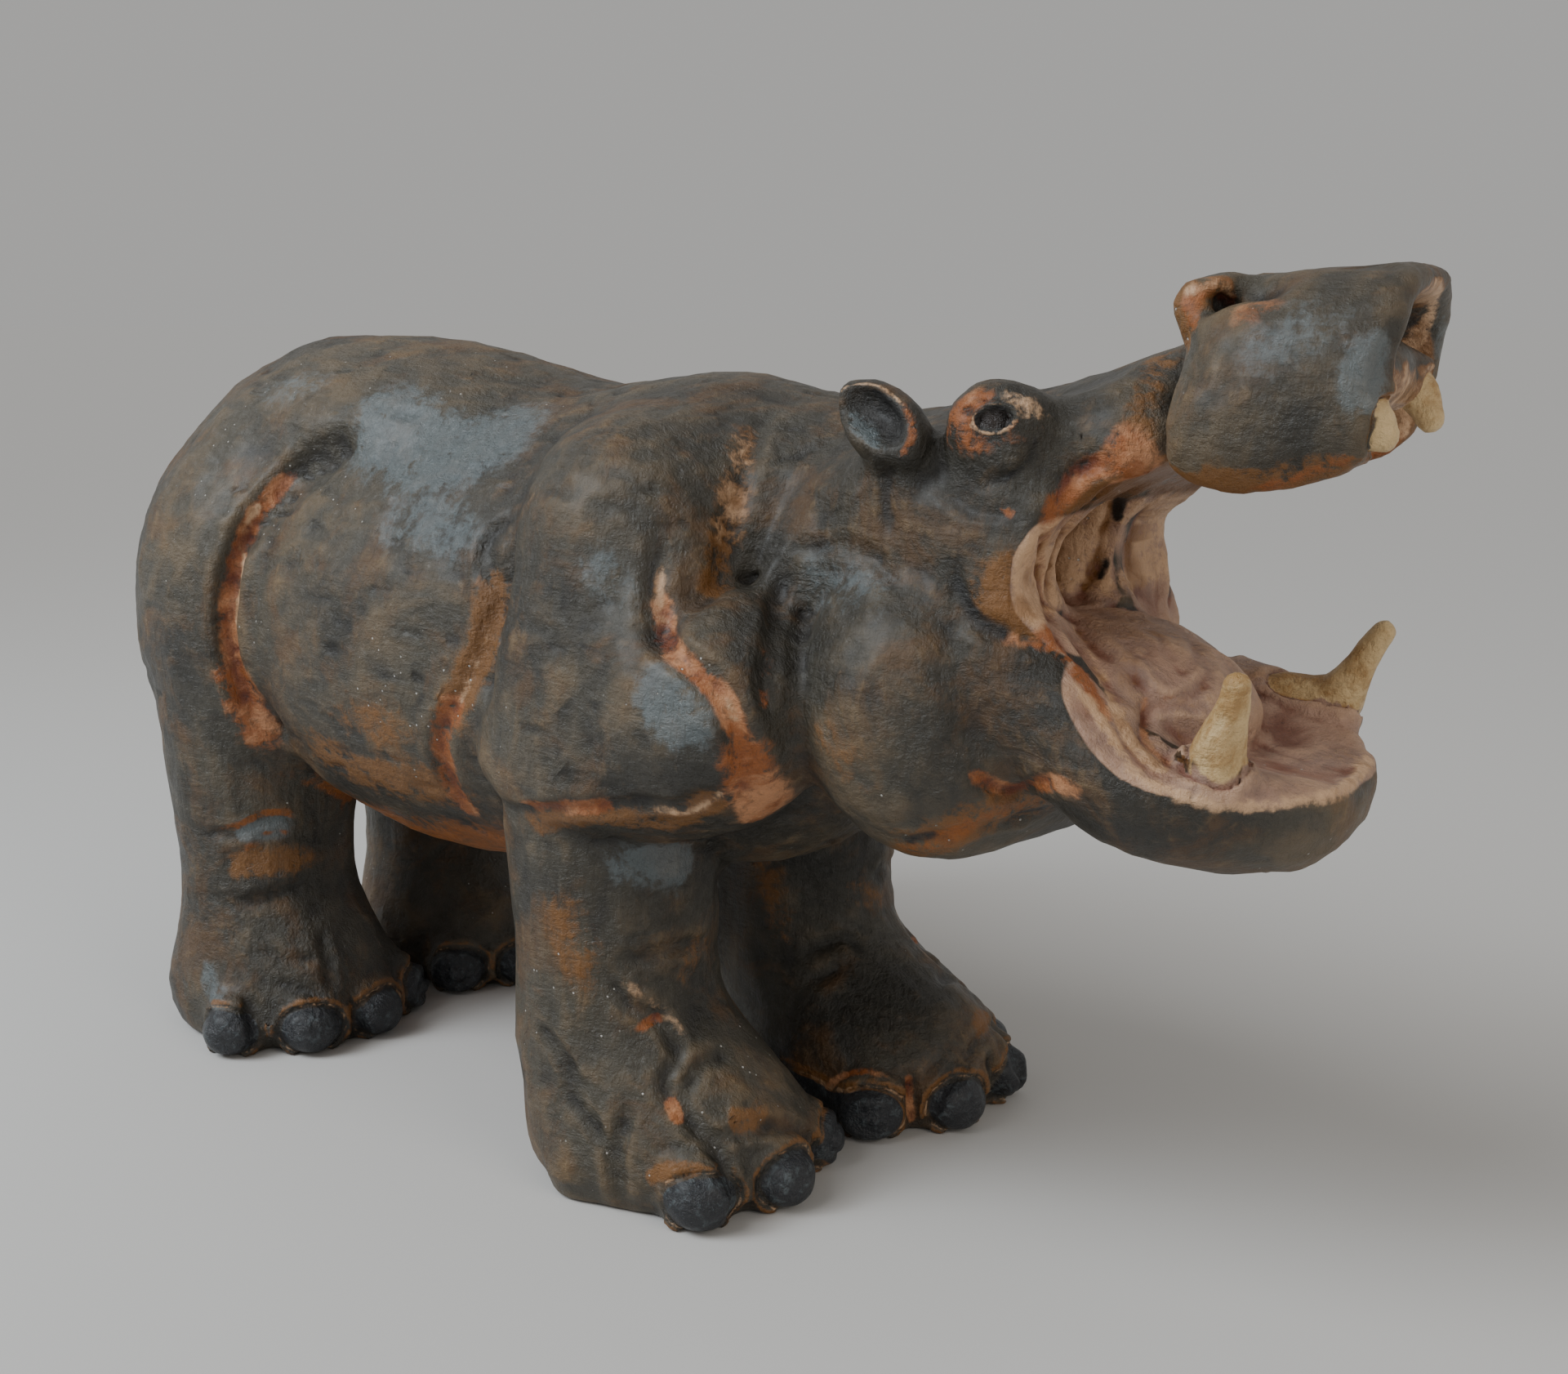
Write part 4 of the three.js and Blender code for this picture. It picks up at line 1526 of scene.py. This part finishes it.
@dataclass
class BroadPaint:
    """Broad areas of paint that follow the body's form."""

    rear: tuple[float, float] = (-165.0, -140.0)
    front: tuple[float, float] = (10.0, 40.0)
    belly_top: tuple[float, float] = (76.0, 112.0)
    belly_bottom: tuple[float, float] = (62.0, 70.0)

    def paint(self, coat: Coat) -> None:
        """Warm the underside.

        Args:
            coat: The figure's paint.
        """
        x, _, z = coat.places.T
        down = -coat.normals[:, 2]
        trunk = smooth_step(x, *self.rear) * (1.0 - smooth_step(x, *self.front))
        belly = trunk * (1.0 - smooth_step(z, *self.belly_top)) * smooth_step(down, -0.1, 0.5)
        belly *= smooth_step(z, *self.belly_bottom)
        coat.brush(Paint.AMBER, belly)


def crease(width: float, depth: float, *path: Pixel, side: Side = Side.SEEN) -> Line:
    """A fold with soft lips, its half width and depth in mm."""
    return Line(Mark.CREASE, width, depth, path, side)


def score(width: float, depth: float, *path: Pixel, side: Side = Side.SEEN) -> Line:
    """A fine cut, its half width and depth in mm."""
    return Line(Mark.SCORE, width, depth, path, side)


def roll(width: float, height: float, *path: Pixel, side: Side = Side.SEEN) -> Line:
    """A raised roll, its half width and height in mm."""
    return Line(Mark.ROLL, width, height, path, side)


def brush(paint: Paint, spread: float, strength: float, *path: Pixel, side: Side = Side.SEEN) -> Line:
    """A stroke of paint, its half width in mm and how strongly it covers."""
    return Line(Mark.BRUSH, 1.0, 0.0, path, side, paint, spread, strength)


def sided(side: Side, lines: tuple[Line, ...]) -> tuple[Line, ...]:
    """Lines that are all repeated in the same way."""
    return tuple(replace(line, side=side) for line in lines)


BOTH = Side.FLANK
EYE = Side.EYE
NOSE = Side.MUZZLE
FORE = Side.FOREFOOT
HIND = Side.HIND_FOOT

# Folds whose paint follows them, in pixels of the photograph
HIP_CRACK = ((402, 535), (372, 566), (345, 592), (308, 640), (288, 690), (279, 745), (284, 800), (297, 850),
             (312, 895))
JOWL_UNDERSIDE = ((1085, 1046), (1150, 1030), (1205, 1000), (1262, 985), (1312, 962))
EYE_BAG = ((1268, 540), (1265, 556), (1248, 576), (1222, 589), (1206, 589))
CHEEK_FOLD = ((1374, 588), (1335, 613), (1305, 646), (1288, 692), (1285, 725), (1300, 750), (1316, 762))
TONGUE_EDGE = ((1383, 800), (1397, 835), (1425, 856), (1453, 852), (1474, 838), (1478, 814))
JAW_RIM = ((1320, 845), (1352, 890), (1373, 925), (1401, 958), (1460, 978), (1530, 988), (1600, 981), (1646, 966),
           (1676, 930))

# Hip, shoulder, neck and jowl folds
FLANK_LINES = sided(BOTH, (
    crease(3.2, 2.4, *HIP_CRACK),
    brush(Paint.EMBER, 3.6, 0.95, *HIP_CRACK[2:8]),
    brush(Paint.EMBER, 8.0, 0.9, (288, 830), (300, 868), (318, 898)),
    brush(Paint.CREAM, 2.2, 0.85, (314, 622), (298, 660), (292, 705), (287, 760)),
    brush(Paint.EMBER, 3.0, 0.7, (344, 598), (356, 582)),
    crease(3.0, 2.2, (604, 650), (600, 690), (606, 740), (592, 790), (570, 840), (545, 885), (538, 915),
           (552, 960), (566, 988)),
    brush(Paint.OCHRE, 7.0, 0.9, (602, 720), (596, 780), (572, 838), (550, 880)),
    brush(Paint.EMBER, 5.0, 0.95, (556, 866), (540, 905), (552, 960), (570, 990)),
    brush(Paint.CREAM, 2.0, 0.5, (596, 770), (576, 828), (552, 878)),
    crease(2.2, 1.2, (588, 700), (598, 662), (640, 628), (700, 612)),
    crease(3.0, 2.6, (818, 640), (806, 690), (803, 735), (815, 785), (845, 815), (880, 850), (903, 900),
           (912, 940), (916, 985)),
    brush(Paint.EMBER, 3.4, 0.95, (810, 740), (818, 788), (846, 818), (882, 852), (905, 905), (914, 960)),
    brush(Paint.CREAM, 2.4, 0.85, (806, 700), (804, 735), (813, 775)),
    brush(Paint.CREAM, 1.8, 0.6, (845, 812), (880, 846), (900, 880)),
    brush(Paint.EMBER, 8.0, 0.95, (912, 930), (922, 965), (940, 990)),
    crease(2.4, 1.8, (612, 985), (660, 992), (720, 990), (780, 985), (840, 985), (885, 965)),
    brush(Paint.EMBER, 3.2, 0.9, (620, 988), (680, 990), (740, 988)),
    brush(Paint.OCHRE, 5.5, 0.8, (660, 1004), (740, 1004), (820, 1006), (870, 985)),
    brush(Paint.CREAM, 2.0, 0.6, (800, 992), (850, 992), (880, 975)),
    crease(2.6, 1.6, (935, 505), (915, 560), (900, 620), (885, 680), (868, 740)),
    brush(Paint.OCHRE, 7.0, 0.6, (912, 530), (898, 600), (888, 660), (876, 720)),
    brush(Paint.CREAM, 6.0, 0.5, (908, 540), (898, 600), (890, 650)),
    crease(2.2, 1.8, (972, 676), (955, 720), (942, 790), (936, 850), (938, 880)),
    brush(Paint.EMBER, 2.6, 0.6, (942, 800), (936, 860)),
    crease(2.0, 1.3, (973, 672), (1013, 668), (1043, 669), (1076, 686), (1096, 715), (1110, 738)),
    crease(4.0, 1.6, (1158, 740), (1160, 772), (1169, 821), (1185, 871), (1196, 905)),
    crease(2.0, 1.6, (1185, 940), (1230, 968), (1290, 952)),
    crease(2.0, 1.4, (1110, 1030), (1180, 1018), (1240, 1008), (1290, 985)),
    brush(Paint.OCHRE, 10.0, 0.85, *JOWL_UNDERSIDE),
    brush(Paint.AMBER, 6.0, 0.6, *JOWL_UNDERSIDE),
    brush(Paint.EMBER, 3.0, 0.7, (1195, 950), (1232, 966), (1290, 958), (1316, 968)),
    # Painted shade deep in the fold under the jowl
    brush(Paint.PAINTED_SHADE, 2.6, 0.8, (1112, 1030), (1140, 1026)),
    brush(Paint.PAINTED_SHADE, 2.2, 0.8, (1248, 998), (1290, 985)),
))

# Folds around eye, cheek, nostril and lip
HEAD_LINES = (
    crease(2.4, 2.2, (1166, 690), (1175, 728), (1195, 758), (1228, 778), (1262, 786), (1290, 790), side=BOTH),
    # Painted shade along the fold above
    brush(Paint.PAINTED_SHADE, 3.0, 0.7, (1172, 715), (1195, 758), (1228, 776), side=BOTH),
    brush(Paint.EMBER, 2.2, 0.8, (1232, 780), (1262, 786), (1290, 792), side=BOTH),
    brush(Paint.OCHRE, 9.0, 0.75, (1216, 728), (1250, 712), (1266, 750), side=BOTH),
    score(1.1, 1.2, *EYE_BAG, side=EYE),
    # Painted shade in the cut under the eye
    brush(Paint.PAINTED_SHADE, 1.3, 0.8, *EYE_BAG[:4], side=EYE),
    crease(1.8, 1.2, (1090, 570), (1082, 610), (1090, 650), side=BOTH),
    crease(1.6, 0.9, (1150, 600), (1190, 625), (1240, 630), side=BOTH),
    brush(Paint.EMBER, 1.6, 0.7, (1228, 626), (1240, 630), side=BOTH),
    roll(2.4, 1.2, (1447, 402), (1444, 374), (1460, 352), (1485, 345), (1510, 352), (1526, 372), side=NOSE),
    brush(Paint.OCHRE, 6.0, 0.8, (1455, 408), (1450, 376), (1464, 354), (1490, 350), side=NOSE),
    brush(Paint.EMBER, 4.0, 0.6, (1462, 395), (1458, 370), (1480, 352), (1508, 360), side=NOSE),
    brush(Paint.CREAM, 2.4, 0.6, (1458, 356), (1485, 348), (1508, 356), side=NOSE),
    score(2.4, 2.0, (1472, 386), (1488, 374), (1504, 368), side=NOSE),
    # Painted shade in the nostril's slit
    brush(Paint.PAINTED_SHADE, 1.8, 0.5, (1474, 386), (1488, 376), (1500, 370), side=NOSE),
    brush(Paint.EMBER, 6.0, 0.45, (1526, 384), (1552, 374), side=NOSE),
    brush(Paint.OCHRE, 6.0, 0.6, (1424, 440), (1402, 490), (1388, 540), side=NOSE),
    brush(Paint.EMBER, 6.0, 0.9, (1378, 548), (1392, 572), (1400, 590), side=BOTH),
    brush(Paint.EMBER, 3.4, 0.7, (1545, 602), (1600, 582), (1652, 556), side=NOSE),
    brush(Paint.CREAM, 2.4, 0.85, (1762, 352), (1752, 388), (1733, 420), (1714, 470), (1700, 515)),
)

# Cheek folds, tongue, gums and jaw rim
MOUTH_LINES = (
    crease(2.0, 1.5, (1392, 572), (1330, 570), (1297, 612), (1279, 652), (1272, 692), (1280, 732),
           (1289, 768)),
    brush(Paint.EMBER, 3.6, 0.9, (1392, 572), (1340, 572), (1300, 612), (1282, 652), (1275, 692),
          (1282, 740)),
    brush(Paint.CREAM, 2.4, 0.7, (1300, 640), (1288, 690), (1290, 735)),
    crease(1.8, 1.8, *CHEEK_FOLD),
    brush(Paint.EMBER, 1.8, 0.8, *CHEEK_FOLD[:4]),
    roll(3.0, 1.5, (1350, 612), (1325, 650), (1308, 690), (1306, 725)),
    crease(1.6, 1.8, (1362, 608), (1357, 640), (1344, 680), (1336, 705), (1322, 732)),
    # Painted shade in the slit between the cheek folds
    brush(Paint.PAINTED_SHADE, 2.2, 0.9, (1372, 612), (1367, 634)),
    brush(Paint.PAINTED_SHADE, 2.0, 0.8, (1354, 688), (1347, 704)),
    crease(1.6, 1.6, (1289, 768), (1311, 798), (1330, 815)),
    brush(Paint.EMBER, 4.0, 0.9, (1285, 775), (1305, 800), (1325, 830), (1345, 870)),
    brush(Paint.CREAM, 3.0, 0.7, (1318, 775), (1340, 815), (1360, 860), (1385, 910), (1420, 945)),
    crease(1.6, 1.4, (1320, 747), (1366, 743), (1418, 743)),
    brush(Paint.EMBER, 1.8, 0.6, (1322, 747), (1366, 744)),
    crease(2.0, 1.8, (1317, 765), (1355, 800), (1380, 821), (1404, 856), (1401, 877), (1401, 901),
           (1425, 929),
           (1457, 961)),
    brush(Paint.EMBER, 1.8, 0.55, (1404, 856), (1401, 877), (1403, 905), (1428, 931)),
    roll(2.2, 1.2, (1325, 770), (1362, 800), (1390, 830), (1412, 862)),
    crease(1.5, 1.4, *TONGUE_EDGE),
    brush(Paint.EMBER, 1.4, 0.6, *TONGUE_EDGE[2:5]),
    score(1.3, 0.9, (1395, 770), (1415, 779), (1432, 800), (1450, 817), (1466, 806), (1460, 780)),
    score(1.3, 0.8, (1380, 790), (1392, 800), (1405, 798), (1412, 786)),
    crease(1.5, 1.3, (1401, 866), (1446, 863), (1489, 866), (1548, 866), (1583, 863)),
    score(1.3, 0.7, (1520, 905), (1560, 920), (1610, 935)),
    score(1.2, 0.6, (1420, 900), (1440, 920), (1450, 945)),
    brush(Paint.FLESH, 5.0, 0.9, (1462, 958), (1515, 970), (1560, 970), (1612, 960)),
    roll(2.0, 1.0, *JAW_RIM),
    brush(Paint.CREAM, 2.2, 0.75, *JAW_RIM),
)

# Wrinkles of wrist, knuckles and toes
FOREFOOT_LINES = sided(FORE, (
    crease(2.2, 1.6, (768, 1178), (814, 1164), (864, 1153)),
    crease(2.0, 1.6, (743, 1196), (771, 1231), (800, 1239), (814, 1256)),
    score(1.5, 1.5, (786, 1256), (804, 1246)),
    brush(Paint.EMBER, 2.0, 0.85, (784, 1258), (804, 1246)),
    crease(2.2, 1.8, (814, 1256), (829, 1292), (814, 1324), (825, 1360)),
    brush(Paint.EMBER, 2.4, 0.9, (822, 1350), (830, 1368)),
    crease(2.4, 2.0, (771, 1349), (757, 1396), (754, 1435), (761, 1471)),
    crease(2.4, 2.6, (835, 1339), (846, 1374), (871, 1399), (886, 1428), (899, 1460), (896, 1490)),
    brush(Paint.EMBER, 1.8, 0.8, (886, 1430), (898, 1460), (896, 1486)),
    crease(2.0, 1.5, (893, 1292), (857, 1303), (836, 1339)),
    crease(2.0, 1.4, (870, 1400), (915, 1385), (950, 1375)),
    crease(2.0, 2.0, (929, 1385), (970, 1380), (996, 1403), (1000, 1435)),
    crease(2.2, 1.3, (690, 1290), (700, 1340), (735, 1390), (757, 1430)),
    crease(2.0, 1.2, (655, 1250), (690, 1300), (720, 1340)),
    score(1.2, 0.9, (800, 1412), (830, 1404), (860, 1412)),
    brush(Paint.OCHRE, 5.0, 0.7, (905, 1372), (925, 1366)),
    brush(Paint.OCHRE, 3.0, 0.8, (800, 1440), (828, 1430), (850, 1432)),
    brush(Paint.CREAM, 2.6, 0.45, (765, 1205), (795, 1222), (835, 1262)),
))
HIND_FOOT_LINES = sided(HIND, (
    crease(2.0, 1.4, (245, 1020), (284, 1021), (327, 1002), (360, 1003)),
    crease(2.2, 1.3, (250, 1095), (290, 1105), (330, 1098), (380, 1080)),
    crease(2.0, 1.6, (394, 1140), (400, 1177), (404, 1207)),
    crease(2.0, 1.4, (315, 1161), (351, 1174), (388, 1171)),
    crease(2.2, 2.0, (300, 1215), (310, 1250), (312, 1285)),
    crease(2.2, 2.0, (430, 1215), (436, 1245), (440, 1272)),
    crease(1.8, 1.2, (330, 1205), (370, 1212), (400, 1225)),
    brush(Paint.OCHRE, 6.0, 0.85, (295, 1060), (330, 1056), (370, 1050)),
))
FAR_FOOT_LINES = (
    crease(2.2, 2.2, (1112, 1318), (1114, 1345), (1116, 1372)),
    brush(Paint.EMBER, 1.8, 0.7, (1112, 1320), (1114, 1345), (1116, 1370)),
    crease(2.0, 2.0, (1206, 1290), (1216, 1320), (1218, 1350)),
    crease(2.0, 1.4, (993, 1162), (1035, 1150), (1052, 1166)),
    crease(2.0, 1.2, (990, 1202), (1010, 1196), (1032, 1180)),
    brush(Paint.EMBER, 1.8, 0.7, (1012, 1335), (1030, 1320), (1060, 1312), (1090, 1325)),
)

# Blue-grey painted highlights and warm rubs over the broad forms
PATCH_LINES = (
    brush(Paint.SLATE_HIGHLIGHT, 20.0, 0.95, (470, 520), (540, 560), (600, 540), side=BOTH),
    brush(Paint.SLATE_HIGHLIGHT, 16.0, 0.6, (500, 630), (560, 650), side=BOTH),
    brush(Paint.SLATE_HIGHLIGHT, 14.0, 0.5, (330, 480), (380, 470), side=BOTH),
    brush(Paint.SLATE_HIGHLIGHT, 10.0, 1.0, (806, 858), (832, 882), side=BOTH),
    brush(Paint.SLATE_HIGHLIGHT, 8.0, 0.9, (765, 1056), (825, 1060), side=BOTH),
    brush(Paint.SLATE_HIGHLIGHT, 14.0, 0.5, (1010, 710), (1060, 735), side=BOTH),
    brush(Paint.SLATE_HIGHLIGHT, 12.0, 0.5, (735, 690), (755, 720), side=BOTH),
    brush(Paint.SLATE_HIGHLIGHT, 13.0, 0.5, (1560, 420), (1620, 390), side=BOTH),
    brush(Paint.SLATE_HIGHLIGHT, 7.0, 1.0, (1684, 440), (1674, 474)),
    brush(Paint.SLATE_HIGHLIGHT, 6.0, 0.75, (300, 1014), (345, 1010), side=BOTH),
    brush(Paint.SLATE_HIGHLIGHT, 6.0, 0.6, (255, 1190), (265, 1225), side=BOTH),
    brush(Paint.OCHRE, 13.0, 0.75, (400, 925), (470, 955), (545, 965), side=BOTH),
    brush(Paint.OCHRE, 13.0, 0.5, (420, 880), (480, 890), side=BOTH),
    brush(Paint.OCHRE, 11.0, 0.5, (690, 1120), (720, 1190), side=BOTH),
    brush(Paint.OCHRE, 8.0, 0.5, (940, 1060), (960, 1150), side=BOTH),
    brush(Paint.OCHRE, 8.0, 0.45, (860, 1160), (840, 1190), side=BOTH),
    brush(Paint.OCHRE, 10.0, 0.4, (1010, 900), (1050, 950), side=BOTH),
)
FOOT_LINES = FOREFOOT_LINES + HIND_FOOT_LINES + FAR_FOOT_LINES
ALL_LINES = FLANK_LINES + HEAD_LINES + MOUTH_LINES + FOOT_LINES + PATCH_LINES


@dataclass(frozen=True)
class Lamp:
    """A square soft light: where it hangs and how wide it is in metres, its watts and tint."""

    name: str
    place: Point
    size: float
    power: float
    colour: Colour


@dataclass
class Studio:
    """Pale floor that runs into an even surround, a soft sky and two soft lights."""

    floor_size: float = 60.0
    surround: Colour = (0.42, 0.415, 0.405)
    floor_colour: Colour = (0.58, 0.575, 0.565)
    key_from: Point = (-0.45, -1.0, 1.25)
    key_angle: float = 38.0
    aim: Point = (0.0, 0.0, 0.13)
    lamps: tuple[Lamp, ...] = (
        Lamp("window", (-0.55, -0.75, 0.75), 0.45, 7.0, (0.86, 0.94, 1.0)),
        Lamp("room", (1.1, -0.2, 0.55), 0.6, 3.0, (1.0, 0.90, 0.78)),
    )

    def build(self) -> None:
        """Lay the floor and set the lights."""
        half = self.floor_size / 2.0
        mesh = bpy.data.meshes.new("floor")
        corners = [(-half, -half, 0.0), (half, -half, 0.0), (half, half, 0.0), (-half, half, 0.0)]
        mesh.from_pydata(corners, [], [(0, 1, 2, 3)])
        floor = bpy.data.objects.new("floor", mesh)
        bpy.context.scene.collection.objects.link(floor)
        material = bpy.data.materials.new("floor")
        material.use_nodes = True
        sheet = NodeSheet(material.node_tree)
        sockets = {"Base Color": (*self.floor_colour, 1.0), "Roughness": 1.0, "Specular IOR Level": 0.0}
        shader = sheet.node("ShaderNodeBsdfPrincipled", {}, sockets)
        sheet.node("ShaderNodeOutputMaterial", {}, {"Surface": shader.outputs[0]})
        mesh.materials.append(material)
        world = bpy.data.worlds.new("surround")
        world.use_nodes = True
        background = world.node_tree.nodes["Background"]
        background.inputs["Color"].default_value = (*self.surround, 1.0)
        bpy.context.scene.world = world
        self.key()
        for lamp in self.lamps:
            self.light(lamp)

    def key(self) -> None:
        """Light floor and figure evenly, so that the far floor is as bright as the surround."""
        data = bpy.data.lights.new("key", "SUN")
        data.angle = math.radians(self.key_angle)
        lamp = bpy.data.objects.new("key", data)
        toward = Vector(self.key_from).normalized()
        lamp.rotation_euler = toward.to_track_quat("Z", "Y").to_euler()
        shade = self.surround[1] / self.floor_colour[1] - self.surround[1]
        data.energy = math.pi * shade / toward.z
        bpy.context.scene.collection.objects.link(lamp)

    def light(self, lamp: Lamp) -> None:
        """Hang one soft light, aimed at the figure.

        Args:
            lamp: The light.
        """
        data = bpy.data.lights.new(lamp.name, "AREA")
        data.size = lamp.size
        data.energy = lamp.power
        data.color = lamp.colour
        hung = bpy.data.objects.new(lamp.name, data)
        hung.location = lamp.place
        way = Vector(self.aim) - Vector(lamp.place)
        hung.rotation_euler = way.to_track_quat("-Z", "Y").to_euler()
        bpy.context.scene.collection.objects.link(hung)


def main() -> None:
    """Build the figure and the studio in order."""
    logging.basicConfig(level=logging.INFO, format="%(name)s: %(message)s")
    viewpoint = Viewpoint()
    viewpoint.make_camera()
    piece = Hippo(viewpoint).build()
    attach(piece, "root")
    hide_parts(NODE)
    LOG.info("%s: %d triangles", piece.name, len(piece.data.polygons))
    Studio().build()


if __name__ == "__main__":
    main()
